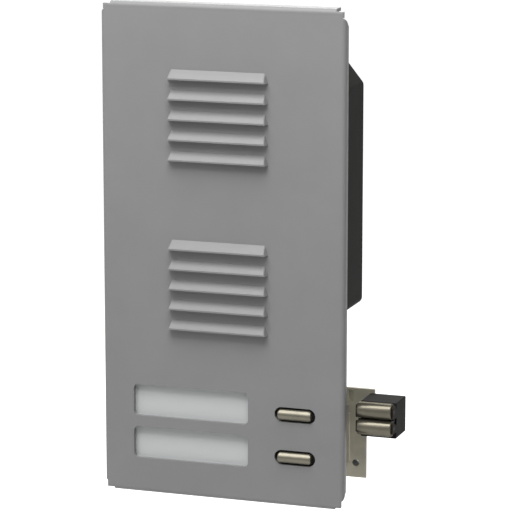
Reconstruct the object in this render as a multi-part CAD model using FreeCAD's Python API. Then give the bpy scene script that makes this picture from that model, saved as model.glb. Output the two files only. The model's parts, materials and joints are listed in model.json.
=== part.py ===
import FreeCAD, Part
import math
import os
from FreeCAD import Vector

# Intercom door station: a folded steel front with two groups of louvres, two name windows and
# two bell pushes, a black speech unit behind it and a roller catch at the lower right.
# Millimetres. X is to the right seen from the front, Y goes back into the wall, Z is up.
# The origin is the middle of the underside of the bottom flange.
# Depths, called d below, are counted backwards from the front face of the panel.

os.makedirs("parts", exist_ok=True)

# Front panel, a folded tray of sheet steel
panel_width = 112.0
panel_height = 220.0
sheet = 1.5
bend_radius = 2.0
top_flange_depth = 7.0
side_flange_depth = 4.0
flange_end_gap = 4.5
side_end_gap = 3.8
corner_setback = 1.2

# Pressed louvres, two groups
louvre_length = 46.0
louvre_x = -1.8
louvre_count = 5
louvre_pitch = 8.9
louvre_height = 4.2
louvre_projection = 3.4
louvre_lip = 0.7
louvre_wall = 0.9
louvre_crest_inset = 1.5
louvre_flare = 0.6
louvre_rounding = 0.6
louvre_belly = 0.58
louvre_inner_height = 3.1
louvre_inner_lip = 0.4
upper_louvre_drop = 33.1
lower_louvre_z = 111.8

# Name windows and bell push slots
window_width = 53.8
window_height = 14.2
window_corner = 2.0
window_x = -15.0
row_upper_z = 42.4
row_pitch = 19.35
push_inset = 22.4
push_drop = 1.1
slot_width = 18.8
slot_height = 6.6

# Speech unit
gauze_thickness = 0.3
gauze_margin = 2.5
gasket_thickness = 1.0
gasket_width = 4.0
housing_side_gap = 4.0
housing_bottom = 84.8
housing_top_gap = 21.0
housing_back = 41.0
housing_wall = 2.0
chamfer_across = 12.5
chamfer_down = 15.5
housing_corner = 3.0
housing_back_edge = 2.0
ear_width = 10.0
ear_reach = 8.0
ear_corner = 1.5
ear_thickness = 2.5
upper_ear_x = 27.0
lower_ear_x = 40.0
baffle_recess = 0.5
baffle_thickness = 2.0
baffle_clearance = 0.25
screw_radius = 1.1
screw_grip = 5.0
screw_hole_depth = 6.0
screw_slot_width = 0.6
screw_slot_depth = 0.5
sunk_head_radius = 2.1
sunk_head_height = 1.1
pan_head_radius = 2.2
pan_head_height = 1.2
boss_radius = 3.2
boss_overlap = 0.5
speaker_radius = 28.5
speaker_drop = 5.0
speaker_flange = 1.2
speaker_depth = 10.0
speaker_wall = 0.8
speaker_rim = 3.5
cone_paper = 0.4
cone_gap = 0.1
cone_surround = 3.2
cap_radius = 8.0
cap_rise = 3.0
magnet_radius = 16.0
magnet_pole_radius = 6.0
magnet_height = 8.0
magnet_pole_rise = 0.6
clamp_angles = (30, 150, 270)
clamp_offset = 3.2
clamp_gap = 0.5
clamp_width = 7.0
clamp_length = 6.0
clamp_lap = 1.8
clamp_sheet = 1.2
clamp_pin_radius = 0.9
microphone_rise = 17.0
capsule_radius = 4.85
capsule_length = 6.5
boot_wall = 1.8
boot_lip = 1.5
boot_back_lip = 1.0
boot_floor = 2.5
boot_mouth_step = 1.2
gasket_bar_rise = 8.0
standoff_length = 8.0
board_thickness = 1.6
board_clearance = 0.5
speech_board_rise = 3.0
speech_board_height = 44.0
capacitor_count = 3
capacitor_radius = 4.0
capacitor_height = 12.0
capacitor_pitch = 11.0
capacitor_x = -26.0
capacitor_rise = 16.0
chip_height = 3.5
amplifier_box = (18.0, 7.0)
amplifier_place = (21.0, 15.5)
codec_box = (10.0, 7.0)
codec_place = (19.0, 1.5)
transformer_box = (16.0, 13.0)
transformer_place = (-26.0, 1.5)
transformer_height = 11.0
pole_count = 6
pole_pitch = 5.0
terminal_height = 10.0
terminal_proud = 2.0
terminal_opening_gap = 0.5
port_size = 2.6
port_drop = 2.6
port_depth = 6.0
clamp_screw_rise = 2.1
clamp_screw_radius = 1.9
clamp_screw_depth = 4.0
clamp_screw_sunk = 1.2
terminal_slot_width = 0.6
terminal_slot_depth = 0.8
trimmer_gap = 5.0
trimmer_pitch = 9.0
trimmer_size = 7.0
trimmer_height = 5.0
rotor_radius = 2.5
rotor_depth = 2.5
rotor_proud = 0.6
rotor_slot_length = 3.8
rotor_slot_width = 0.7
rotor_slot_depth = 1.0

# Name unit
label_recess = 2.8
window_clearance = 0.2
seat_lip = 1.5
seat_clearance = 0.2
pane_thickness = 1.2
card_thickness = 0.4
diffuser_thickness = 2.0
name_unit_back = 11.0
name_side_gap = 4.0
unit_gap = 0.5
unit_margin = 4.2
unit_corner = 1.5
lamp_count = 3
lamp_width = 3.2
lamp_depth = 2.8
lamp_height = 1.2

# Bell pushes
bar_gap = 1.8
bar_height_gap = 0.9
bar_corner = 1.3
bar_proud = 0.3
bar_crown = 1.5
push_travel = 1.2
collar_lap = 0.8
collar_thickness = 1.4
collar_clearance = 0.1
pocket_clearance = 0.3
pocket_wall = 1.0
spring_room = 3.5
floor_thickness = 2.5
stem_radius = 1.5
stem_proud = 0.4
running_clearance = 0.05
bridge_length = 9.0
bridge_width = 4.2
bridge_thickness = 0.5
contact_well_margin = 1.0
contact_well_height = 7.0
contact_radius = 0.7
contact_offset = 3.2
contact_height = 2.2
spring_wire = 0.45
spring_turns = 4
spring_end_clearance = 0.02
spring_side_clearance = 0.35
spring_steps = 6
spring_sides = 5
push_side_gap = 6.0
push_terminal_count = 4
push_terminal_pitch = 3.4
push_terminal_width = 14.0
push_terminal_height = 9.0
push_terminal_depth = 8.0
push_terminal_shift = -3.0
push_port_size = 2.2
push_port_drop = 2.2
push_port_depth = 5.0
push_screw_rise = 1.9
push_screw_radius = 1.3
push_screw_depth = 2.5

# Studs and nuts, M3
small_rod_sides = 12
stud_radius = 1.5
stud_hole_radius = 1.7
nut_height = 2.4
nut_across_flats = 5.5
stud_proud = 1.0
stud_edge = 4.0
foot_stud_edge = 6.5

# Catch bracket, zinc plated sheet
bracket_sheet = 1.5
bracket_face = 30.0
bracket_inset = 6.9
bracket_bend = 2.0
bracket_bottom = 7.2
bracket_top = 48.1
bracket_overhang = 1.0
leg_bottom = 14.5
leg_top = 36.0
leg_cut = 0.4
leg_rise = 5.0
leg_relief = 0.8
foot_width = 10.5
lobe_reach = 13.0
lobe_lap = 2.0
tab_end_gap = 0.8
tab_top_gap = 1.2
tab_bottom_gap = 1.0
fixing_hole_radius = 1.6
fixing_hole_inset = 3.7
fixing_hole_z = 13.8
pressed_slot_width = 2.1
pressed_slot_height = 5.2
pressed_slot_drop = 0.9
pressed_slot_offset = 0.9
pressed_slot_depth = 1.0

# Roller catch
catch_offset = 2.8
catch_width = 16.4
catch_height = 16.0
catch_depth = 14.0
catch_z = 38.4
catch_corner = 0.5
catch_side_wall = 0.95
catch_back_wall = 3.0
catch_screw_spacing = 9.0
catch_screw_radius = 1.25
catch_screw_skin = 0.4
catch_screw_proud = 0.5
catch_head_radius = 2.3
catch_head_height = 1.6
roller_length = 15.4
roller_radius = 3.6
roller_edge = 0.4
roller_spacing = 7.6
roller_rise = 1.5
roller_reach = 5.0
axle_radius = 0.8
arm_sheet = 0.7
arm_side_clearance = 0.15
arm_front_gap = 0.5
roller_end_clearance = 0.1
cheek_gap = 0.8
cheek_front = 1.7
cheek_rise = 2.3
cheek_round = 0.8
knee_offset = 3.4
knee_radius = 1.8
web_half = 1.5
pivot_radius = 1.9
pin_spacing = 5.2
pin_setback = 2.5
pin_cover = 0.4
arm_swing_deg = 6.0
arm_stop_clearance = 0.2
bridge_plate_offset = 4.25
bridge_plate_front = 6.0
bridge_plate_back = 2.5
torsion_wire = 0.5
torsion_radius = 1.3
torsion_turns = 5
torsion_pitch = 0.9
torsion_lead = 4.6
torsion_tail = 2.1
torsion_steps = 6

# Depths and places that follow from the sizes above
face_y = -(bend_radius + top_flange_depth) / 2
upper_louvre_z = panel_height - upper_louvre_drop
housing_width = panel_width - 2 * housing_side_gap
housing_top = panel_height - housing_top_gap
row_z = [row_upper_z, row_upper_z - row_pitch]
push_x = panel_width / 2 - push_inset
push_z = [z - push_drop for z in row_z]
housing_front = sheet + gasket_thickness
baffle_front = housing_front + baffle_recess
baffle_back = baffle_front + baffle_thickness
inner_back = housing_back - housing_wall
speech_board_back = inner_back - standoff_length
speech_board_front = speech_board_back - board_thickness
louvre_group = (louvre_count - 1) * louvre_pitch + louvre_height
speaker_z = upper_louvre_z + louvre_height - louvre_group / 2 - speaker_drop
microphone_z = housing_bottom + microphone_rise
terminal_z = housing_bottom + microphone_rise
lamp_board_back = name_unit_back + board_thickness
collar_front = sheet + collar_clearance
collar_back = collar_front + collar_thickness
floor_front = collar_back + spring_room
floor_back = floor_front + floor_thickness
bridge_front = floor_back + running_clearance
bridge_back = bridge_front + bridge_thickness
contact_front = bridge_back + push_travel + running_clearance
push_unit_back = contact_front + contact_height
contact_board_back = push_unit_back + board_thickness
unit_bottom = row_z[1] - window_height / 2 - seat_lip - unit_margin
unit_top = row_z[0] + window_height / 2 + seat_lip + unit_margin
push_unit_left = push_x - slot_width / 2 - collar_lap - pocket_clearance - pocket_wall
push_unit_right = panel_width / 2 - push_side_gap
name_left = name_side_gap - panel_width / 2
name_right = push_unit_left - unit_gap
push_stud_x = [push_unit_left + stud_edge, push_unit_right - foot_stud_edge]
name_stud_x = [name_left + stud_edge, name_right - stud_edge]
stud_z = [unit_bottom + stud_edge, unit_top - stud_edge]
leg_right = panel_width / 2 - bracket_inset
leg_left = leg_right - bracket_sheet
foot_front = contact_board_back
foot_back = foot_front + bracket_sheet
bracket_back = bracket_face + bracket_sheet
bracket_lower_right = panel_width / 2 + bracket_overhang
fixing_hole_x = panel_width / 2 - fixing_hole_inset
lobe_left = panel_width / 2 - lobe_reach
catch_left = panel_width / 2 + catch_offset
catch_x = catch_left + catch_width / 2
catch_front = bracket_face - catch_depth
catch_screw_front = bracket_face - catch_back_wall + catch_screw_skin
roller_d = catch_front - roller_reach
pin_d = bracket_face - catch_back_wall - pin_setback
cavity_half = catch_width / 2 - catch_side_wall
arm_outer = cavity_half - arm_side_clearance
arm_inner = arm_outer - arm_sheet
cheek_inner = roller_length / 2 + roller_end_clearance
cheek_outer = cheek_inner + arm_sheet
web_back = catch_front - arm_front_gap
web_front = web_back - arm_sheet
knee_d = (web_front + web_back) / 2
arm_climb = (pin_d - catch_front) * math.sin(math.radians(arm_swing_deg))
cavity_half_height = knee_offset + knee_radius + arm_climb + arm_stop_clearance


def box(x0, x1, d0, d1, z0, z1):
    """A block between two corners, its depths counted from the front face."""
    return Part.makeBox(x1 - x0, d1 - d0, z1 - z0, Vector(x0, face_y + d0, z0))


def rod_back(x, z, d0, d1, radius):
    """A round rod along Y."""
    return Part.makeCylinder(radius, d1 - d0, Vector(x, face_y + d0, z), Vector(0, 1, 0))


def small_rod(x, z, d0, d1, radius):
    """A thin rod along Y with flats in place of its round, for pieces and holes that repeat."""
    corners = []
    for number in range(small_rod_sides):
        angle = 2 * math.pi * number / small_rod_sides
        corners.append((x + radius * math.cos(angle), z + radius * math.sin(angle)))
    return outline_face(corners, d0).extrude(Vector(0, d1 - d0, 0))


def rod_across(x0, x1, d, z, radius):
    """A round rod along X."""
    return Part.makeCylinder(radius, x1 - x0, Vector(x0, face_y + d, z), Vector(1, 0, 0))


def slab(x, z, width, height, d0, d1, corner=0.0):
    """A plate facing the front, with its depth edges rounded."""
    plate = box(x - width / 2, x + width / 2, d0, d1, z - height / 2, z + height / 2)
    if corner > 0.0:
        radius = min(corner, width / 2 - 0.001, height / 2 - 0.001)
        plate = plate.makeFillet(radius, edges_along(plate, Vector(0, 1, 0)))
    return plate


def edges_along(shape, direction, keep=None):
    """The straight edges of a shape that run along a direction."""
    found = []
    for edge in shape.Edges:
        run = edge.Vertexes[-1].Point - edge.Vertexes[0].Point
        if run.Length > 1e-6 and abs(run.normalize().dot(direction)) > 0.9999:
            if keep is None or keep(edge.CenterOfMass):
                found.append(edge)
    return found


def outline_face(points, d):
    """A flat face at one depth from its corners (x, z)."""
    corners = [Vector(x, face_y + d, z) for x, z in points]
    return Part.Face(Part.makePolygon(corners + corners[:1]))


def side_face(points, x):
    """A flat face across X from its corners (d, z)."""
    corners = [Vector(x, face_y + d, z) for d, z in points]
    return Part.Face(Part.makePolygon(corners + corners[:1]))


def hull_of_rounds(x0, x1, ends):
    """A plate across X whose edge wraps two discs, each given as (d, z, radius)."""
    (d0, z0, r0), (d1, z1, r1) = ends
    span = math.hypot(d1 - d0, z1 - z0)
    along = math.atan2(z1 - z0, d1 - d0)
    lean = math.acos((r0 - r1) / span)
    corners = []
    for side in (1, -1):
        for d, z, radius in ((d0, z0, r0), (d1, z1, r1))[::side]:
            angle = along + side * lean
            corners.append((d + radius * math.cos(angle), z + radius * math.sin(angle)))
    web = side_face(corners, x0).extrude(Vector(x1 - x0, 0, 0))
    discs = [rod_across(x0, x1, d, z, radius) for d, z, radius in ends]
    return web.fuse(discs).removeSplitter()


def coil(wire, radius, pitch, turns, steps, tail=0.0, lead=0.0):
    """An unbroken wire wound about Z from +X, in short straight runs. It stands on z = 0, and
    its two ends can run on along Y."""
    points = []
    for number in range(turns * steps + 1):
        angle = 2 * math.pi * number / steps
        points.append(Vector(
            radius * math.cos(angle), radius * math.sin(angle), pitch * number / steps))
    if tail > 0.0:
        points.insert(0, points[0] - Vector(0, tail, 0))
    if lead > 0.0:
        points.append(points[-1] + Vector(0, lead, 0))
    along = points[1] - points[0]
    across = Vector(1, 0, 0)
    up = along.cross(across).normalize()
    across = up.cross(along).normalize()
    ring = []
    for number in range(spring_sides):
        angle = 2 * math.pi * number / spring_sides
        ring.append(
            points[0] + (across * math.cos(angle) + up * math.sin(angle)) * (wire / 2))
    section = Part.makePolygon(ring + ring[:1])
    square_corners = 1
    return Part.makePolygon(points).makePipeShell([section], True, False, square_corners)


def louvre_lips(top_lip):
    """The heights of the lips of one group, from its uppermost lip down."""
    return [top_lip - louvre_pitch * number for number in range(louvre_count)]


def all_lips():
    return louvre_lips(upper_louvre_z) + louvre_lips(lower_louvre_z)


def hood(length, height, projection, lip, z, flare):
    """A filled louvre: a lip and a curved slope above it, with ends that lean inwards towards
    the crest and flare out towards the sheet."""
    half = length / 2
    start = louvre_x - half - 1
    foot = Vector(start, face_y, z)
    edge = Vector(start, face_y - projection, z)
    brow = Vector(start, face_y - projection, z + lip)
    crest = Vector(start, face_y, z + height)
    belly = Vector(start, face_y - projection * louvre_belly, z + lip + (height - lip) / 2)
    profile = Part.Face(Part.Wire([
        Part.makeLine(foot, edge),
        Part.makeLine(edge, brow),
        Part.Arc(brow, belly, crest).toShape(),
        Part.makeLine(crest, foot),
    ]))
    body = profile.extrude(Vector(length + 2, 0, 0))
    for side in (-1, 1):
        root = Vector(louvre_x + side * half, face_y, z)
        tip = Vector(louvre_x + side * (half - flare), face_y - projection, z)
        top = Vector(louvre_x + side * (half - louvre_crest_inset), face_y, z + height)
        down = tip - root
        over = top - root
        outwards = down.cross(over).normalize()
        if outwards.x * side < 0:
            outwards = outwards * -1
        wide = [(-9, -9), (9, -9), (9, 9), (-9, 9), (-9, -9)]
        plane = Part.Face(Part.makePolygon([root + down * k + over * m for k, m in wide]))
        body = body.cut(plane.extrude(outwards * length))
    return body


def rounded_hood(z):
    """One louvre as it shows, the edges of its ends rounded."""
    body = hood(
        louvre_length, louvre_height, louvre_projection, louvre_lip, z, louvre_flare)
    near_end = louvre_length / 2 - 2 * louvre_crest_inset
    ends = []
    for edge in body.Edges:
        middle = edge.CenterOfMass
        outer = edge.BoundBox.YMin < face_y - 0.05 and edge.BoundBox.ZMax > z + 0.05
        if outer and abs(middle.x - louvre_x) > near_end:
            ends.append(edge)
    return body.makeFillet(louvre_rounding, ends)


def hollow(z):
    """The space under a louvre, and its way through the sheet."""
    length = louvre_length - 2 * louvre_wall
    height = louvre_inner_height
    projection = louvre_projection - louvre_wall
    inner = hood(length, height, projection, louvre_inner_lip, z, louvre_flare)
    left = louvre_x - length / 2
    right = louvre_x + length / 2
    mouth = [
        (left, z), (right, z), (right - louvre_crest_inset, z + height),
        (left + louvre_crest_inset, z + height),
    ]
    return inner.fuse(outline_face(mouth, 0).extrude(Vector(0, sheet + 1, 0)))


def tray():
    """The folded panel before it is punched."""
    half = panel_width / 2
    deep = top_flange_depth
    outer = box(-half, half, 0, deep, 0, panel_height)
    inner = box(-half + sheet, half - sheet, sheet, deep + 1, sheet, panel_height - sheet)

    def on_face(point, d):
        return abs(point.y - face_y - d) < 1e-6

    front = [edge for edge in outer.Edges if on_face(edge.CenterOfMass, 0)]
    outer = outer.makeFillet(bend_radius, front)
    inner_radius = max(bend_radius - sheet, 0.1)
    floor = [edge for edge in inner.Edges if on_face(edge.CenterOfMass, sheet)]
    inner = inner.makeFillet(inner_radius, floor)
    shell = outer.cut(inner)
    waste = []
    for side in (-1, 1):
        near, far = sorted((side * (half - sheet - 1), side * (half + 1)))
        waste.append(box(near, far, side_flange_depth, deep + 1, -1, panel_height + 1))
        for end in (0, 1):
            edge_z = end * panel_height
            into = 1 - 2 * end
            waste += corner_waste(side, edge_z, into)
    return shell.cut(waste)


def corner_waste(side, edge_z, into):
    """What is cut from one corner: flange ends, the setback of the face and the slanted end of
    the side flange. into is +1 at the bottom and -1 at the top."""
    half = panel_width / 2
    deep = top_flange_depth + 1
    gap_x = sorted((side * (half - flange_end_gap), side * (half + 1)))
    gap_z = sorted((edge_z + into * side_end_gap, edge_z - into))
    set_x = sorted((side * (half - corner_setback), side * (half + 1)))
    set_z = sorted((edge_z + into * corner_setback, edge_z - into))
    bend_x = sorted((side * (half - bend_radius), side * (half + 1)))
    slant = [
        (0, edge_z + into * side_end_gap),
        (side_flange_depth + 0.5, edge_z + into * side_end_gap),
        (side_flange_depth + 0.5, edge_z + into * (side_end_gap + side_flange_depth + 0.5)),
    ]
    wedge = side_face(slant, bend_x[0]).extrude(Vector(bend_x[1] - bend_x[0], 0, 0))
    return [
        box(gap_x[0], gap_x[1], sheet, deep, gap_z[0], gap_z[1]),
        box(set_x[0], set_x[1], -1, deep, gap_z[0], gap_z[1]),
        box(gap_x[0], gap_x[1], -1, deep, set_z[0], set_z[1]),
        wedge,
    ]


def front_panel():
    panel = tray().fuse([rounded_hood(z) for z in all_lips()])
    punches = [hollow(z) for z in all_lips()]
    for z in row_z:
        punches.append(
            slab(window_x, z, window_width, window_height, -1, sheet + 1, window_corner)
        )
    for z in push_z:
        punches.append(slab(push_x, z, slot_width, slot_height, -1, sheet + 1, slot_height / 2))
    return panel.cut(punches).removeSplitter()


def stud_places():
    """Each weld stud as (x, z, depth of the face that its nut bears on)."""
    places = []
    ear_seat = housing_front + ear_thickness
    for side in (-1, 1):
        places.append((side * upper_ear_x, housing_top + ear_reach / 2, ear_seat))
        places.append((side * lower_ear_x, housing_bottom - ear_reach / 2, ear_seat))
    for z in stud_z:
        for x in name_stud_x:
            places.append((x, z, lamp_board_back))
        places.append((push_stud_x[0], z, contact_board_back))
        places.append((push_stud_x[1], z, foot_back))
    return places


def weld_studs():
    return [
        small_rod(x, z, sheet, seat + nut_height + stud_proud, stud_radius)
        for x, z, seat in stud_places()
    ]


def stud_nuts():
    nuts = []
    for x, z, seat in stud_places():
        corners = []
        for number in range(6):
            angle = math.radians(60 * number)
            radius = nut_across_flats / 2 / math.cos(math.radians(30))
            corners.append((x + radius * math.cos(angle), z + radius * math.sin(angle)))
        nut = outline_face(corners, seat).extrude(Vector(0, nut_height, 0))
        nuts.append(nut.cut(small_rod(x, z, seat - 1, seat + nut_height + 1, stud_radius)))
    return nuts


def acoustic_mesh():
    sheets = []
    for top_lip in (upper_louvre_z, lower_louvre_z):
        middle = top_lip + louvre_height - louvre_group / 2
        sheets.append(slab(
            louvre_x, middle, louvre_length + 2 * gauze_margin,
            louvre_group + 2 * gauze_margin, sheet, sheet + gauze_thickness,
        ))
    return sheets


def housing_outline(inset):
    """Corners (x, z) of the housing seen from the front, moved inwards by inset."""
    half = housing_width / 2
    slope = math.hypot(chamfer_across, chamfer_down)
    low = housing_top - chamfer_down + (inset * chamfer_down - inset * slope) / chamfer_across
    wide = half - (inset * slope + chamfer_across * (chamfer_down - inset)) / chamfer_down
    right = [
        (half - inset, housing_bottom + inset),
        (half - inset, low),
        (wide, housing_top - inset),
    ]
    return right + [(-x, z) for x, z in reversed(right)]


def housing_block(inset, d0, d1, corner):
    block = outline_face(housing_outline(inset), d0).extrude(Vector(0, d1 - d0, 0))
    if corner > 0.0:
        block = block.makeFillet(corner, edges_along(block, Vector(0, 1, 0)))
    return block


def boss_places():
    """Centres of the four long bosses that carry the baffle."""
    half = housing_width / 2 - housing_wall - boss_radius + boss_overlap
    low = housing_bottom + housing_wall + boss_radius - boss_overlap
    high = housing_top - chamfer_down - housing_wall - boss_radius
    return [(side * half, z) for side in (-1, 1) for z in (low, high)]


def speech_board_box():
    """The board between the long bosses: half its width, its lower and its upper edge."""
    half = housing_width / 2 - housing_wall - 2 * boss_radius - board_clearance
    low = housing_bottom + housing_wall + speech_board_rise
    return half, low, low + speech_board_height


def standoff_places():
    half, low, high = speech_board_box()
    inset = boss_radius + board_clearance
    return [(side * (half - inset), z) for side in (-1, 1) for z in (low + inset, high - inset)]


def trimmer_places():
    start = pole_count * pole_pitch / 2 + trimmer_gap + trimmer_pitch / 2
    return [(start, terminal_z), (start + trimmer_pitch, terminal_z)]


def speech_housing():
    shell = housing_block(0, housing_front, housing_back, housing_corner)
    back = [
        edge for edge in shell.Edges
        if abs(edge.CenterOfMass.y - face_y - housing_back) < 1e-6
    ]
    shell = shell.makeChamfer(housing_back_edge, back)
    shell = shell.cut(housing_block(housing_wall, housing_front - 1, inner_back, 0.0))
    ears = []
    holes = []
    for x, z, into in ((upper_ear_x, housing_top, 1), (lower_ear_x, housing_bottom, -1)):
        for side in (-1, 1):
            ears.append(fixing_ear(side * x, z, into))
            holes.append(small_rod(
                side * x, z + into * ear_reach / 2, housing_front - 1,
                housing_front + ear_thickness + 1, stud_hole_radius,
            ))
    sunk = housing_back - housing_wall / 2
    posts = [small_rod(x, z, baffle_back, sunk, boss_radius) for x, z in boss_places()]
    posts += [small_rod(x, z, speech_board_back, sunk, boss_radius) for x, z in standoff_places()]
    shell = shell.fuse(ears + posts)
    for x, z in boss_places():
        holes.append(small_rod(
            x, z, baffle_back - 1, baffle_back + screw_hole_depth, screw_radius))
    for x, z in standoff_places():
        holes.append(small_rod(
            x, z, speech_board_back - 1, speech_board_back + screw_hole_depth, screw_radius))
    length = pole_count * pole_pitch + 2 * terminal_opening_gap
    height = terminal_height + 2 * terminal_opening_gap
    holes.append(slab(0, terminal_z, length, height, inner_back - 1, housing_back + 1))
    for x, z in trimmer_places():
        holes.append(rod_back(x, z, inner_back - 1, housing_back + 1, rotor_radius))
    return shell.cut(holes).removeSplitter()


def fixing_ear(x, wall_z, into):
    """An ear that stands out from the housing's wall, its two free corners rounded."""
    far = wall_z + into * ear_reach
    root = wall_z - into * housing_wall
    ear = box(
        x - ear_width / 2, x + ear_width / 2, housing_front, housing_front + ear_thickness,
        min(far, root), max(far, root),
    )
    free = edges_along(ear, Vector(0, 1, 0), lambda point: abs(point.z - far) < 1e-6)
    return ear.makeFillet(ear_corner, free)


def housing_gasket():
    thick = Vector(0, gasket_thickness, 0)
    outer = outline_face(housing_outline(0.0), sheet).extrude(thick)
    inner = outline_face(housing_outline(gasket_width), sheet).extrude(thick)
    bar_z = (speaker_z - speaker_radius + microphone_z) / 2 + gasket_bar_rise
    half = housing_width / 2 - gasket_width
    bar = box(-half, half, sheet, sheet + gasket_thickness, bar_z, bar_z + gasket_width)
    frame = outer.cut(inner).fuse(bar).removeSplitter()
    return frame.cut(acoustic_mesh())


def baffle():
    plate = housing_block(housing_wall + baffle_clearance, baffle_front, baffle_back, 0.0)
    near = baffle_front - 1
    far = baffle_back + 1
    mouth = speaker_radius - speaker_rim
    holes = [rod_back(louvre_x, speaker_z, near, far, mouth)]
    holes.append(rod_back(louvre_x, microphone_z, near, far, capsule_radius + boot_wall))
    for x, z in boss_places():
        holes.append(small_rod(x, z, near, far, screw_radius))
        holes.append(small_rod(x, z, near, baffle_front + sunk_head_height, sunk_head_radius))
    for x, z in clamp_pin_places():
        holes.append(small_rod(x, z, near, far, clamp_pin_radius))
    return plate.cut(holes)


def slotted_screw(x, z, head_front, head_height, head_radius, grip):
    """A slotted screw along +Y whose head starts at head_front."""
    seat = head_front + head_height
    shank = small_rod(x, z, seat, seat + grip, screw_radius)
    head = small_rod(x, z, head_front, seat, head_radius)
    slot = slab(
        x, z, 2 * head_radius + 1, screw_slot_width, head_front - 1, head_front + screw_slot_depth)
    return head.fuse(shank).cut(slot).removeSplitter()


def baffle_screws():
    grip = baffle_thickness - sunk_head_height + screw_grip
    return [
        slotted_screw(x, z, baffle_front, sunk_head_height, sunk_head_radius, grip)
        for x, z in boss_places()
    ]


def speaker_basket():
    """A turned cup: a flange in front, a sloping wall and a floor that carries the magnet."""
    mouth = speaker_radius - speaker_rim
    rear = magnet_radius + speaker_wall
    front = baffle_back
    end = baffle_back + speaker_depth
    section = [
        (mouth, front), (speaker_radius, front), (speaker_radius, front + speaker_flange),
        (mouth + speaker_wall, front + speaker_flange), (rear, end), (magnet_pole_radius, end),
        (magnet_pole_radius, end - speaker_wall), (magnet_radius, end - speaker_wall),
        (mouth, front + speaker_flange),
    ]
    return turned(section)


def turned(section):
    """A solid turned about the loudspeaker's axis from corners (radius, d)."""
    points = [Vector(louvre_x + radius, face_y + d, speaker_z) for radius, d in section]
    half_section = Part.Face(Part.makePolygon(points + points[:1]))
    return half_section.revolve(Vector(louvre_x, face_y, speaker_z), Vector(0, 1, 0), 360)


def speaker_cone():
    """The paper cone with its dust cap, one thin turned shell."""
    edge = speaker_radius - speaker_rim - cone_gap
    start = baffle_back + speaker_flange - cone_paper
    end = baffle_back + speaker_depth - speaker_wall - magnet_pole_rise - cone_paper
    front = [(edge, start), (edge - cone_surround, start), (cap_radius, end), (0, end - cap_rise)]
    back = [(radius, d + cone_paper) for radius, d in reversed(front)]
    return turned(front + back)


def speaker_magnet():
    start = baffle_back + speaker_depth
    rise = speaker_wall + magnet_pole_rise
    ring = rod_back(louvre_x, speaker_z, start, start + magnet_height, magnet_radius)
    pole = rod_back(louvre_x, speaker_z, start - rise, start, magnet_pole_radius)
    return ring.fuse(pole).removeSplitter()


def clamp_pin_places():
    reach = speaker_radius + clamp_offset
    places = []
    for angle in clamp_angles:
        places.append((
            louvre_x + reach * math.cos(math.radians(angle)),
            speaker_z + reach * math.sin(math.radians(angle)),
        ))
    return places


def speaker_clamps():
    """Three stepped clips, pinned to the baffle, that hold the loudspeaker's flange."""
    clips = []
    centre = Vector(louvre_x, face_y, speaker_z)
    over = baffle_back + speaker_flange
    low = speaker_z - clamp_width / 2
    high = speaker_z + clamp_width / 2
    x0 = louvre_x + speaker_radius + clamp_gap
    pin_x = louvre_x + speaker_radius + clamp_offset
    for angle in clamp_angles:
        foot = box(x0, x0 + clamp_length, baffle_back, over + clamp_sheet, low, high)
        lip = box(x0 - clamp_lap, x0 + 1, over, over + clamp_sheet, low, high)
        pin = small_rod(pin_x, speaker_z, baffle_front, over, clamp_pin_radius)
        clip = foot.fuse([lip, pin])
        clip.rotate(centre, Vector(0, 1, 0), -angle)
        clips.append(clip.removeSplitter())
    return clips


def microphone_boot():
    """A rubber grommet in the baffle: flange in front, flange behind, blind pocket inside."""
    body_radius = capsule_radius + boot_wall
    front = sheet + gauze_thickness
    end = front + boot_lip + capsule_length + boot_floor
    body = rod_back(louvre_x, microphone_z, front, end, body_radius)
    wide = body_radius + boot_lip
    lips = [
        rod_back(louvre_x, microphone_z, front, baffle_front, wide),
        rod_back(louvre_x, microphone_z, baffle_back, baffle_back + boot_back_lip, wide),
    ]
    pocket = rod_back(louvre_x, microphone_z, front + boot_lip, end - boot_floor, capsule_radius)
    mouth = rod_back(
        louvre_x, microphone_z, front - 1, front + boot_lip + 1, capsule_radius - boot_mouth_step)
    return body.fuse(lips).cut([pocket, mouth]).removeSplitter()


def microphone_capsule():
    start = sheet + gauze_thickness + boot_lip
    return rod_back(louvre_x, microphone_z, start, start + capsule_length, capsule_radius)


def speech_board():
    half, low, high = speech_board_box()
    board = box(-half, half, speech_board_front, speech_board_back, low, high)
    holes = [
        small_rod(x, z, speech_board_front - 1, speech_board_back + 1, screw_radius)
        for x, z in standoff_places()
    ]
    return board.cut(holes)


def board_screws():
    front = speech_board_front - pan_head_height
    grip = board_thickness + screw_grip
    return [
        slotted_screw(x, z, front, pan_head_height, pan_head_radius, grip)
        for x, z in standoff_places()
    ]


def board_capacitors():
    cans = []
    z = microphone_z + capacitor_rise
    front = speech_board_front - capacitor_height
    for number in range(capacitor_count):
        x = capacitor_x + capacitor_pitch * number
        cans.append(small_rod(x, z, front, speech_board_front, capacitor_radius))
    return cans


def board_chips():
    """The amplifier, the codec and the line transformer on the front of the speech board."""
    chips = []
    for size, place, height in (
        (amplifier_box, amplifier_place, chip_height),
        (codec_box, codec_place, chip_height),
        (transformer_box, transformer_place, transformer_height),
    ):
        x, rise = place
        front = speech_board_front - height
        chips.append(slab(x, microphone_z + rise, size[0], size[1], front, speech_board_front))
    return chips


def pole_x():
    return [pole_pitch * (number - (pole_count - 1) / 2) for number in range(pole_count)]


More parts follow.
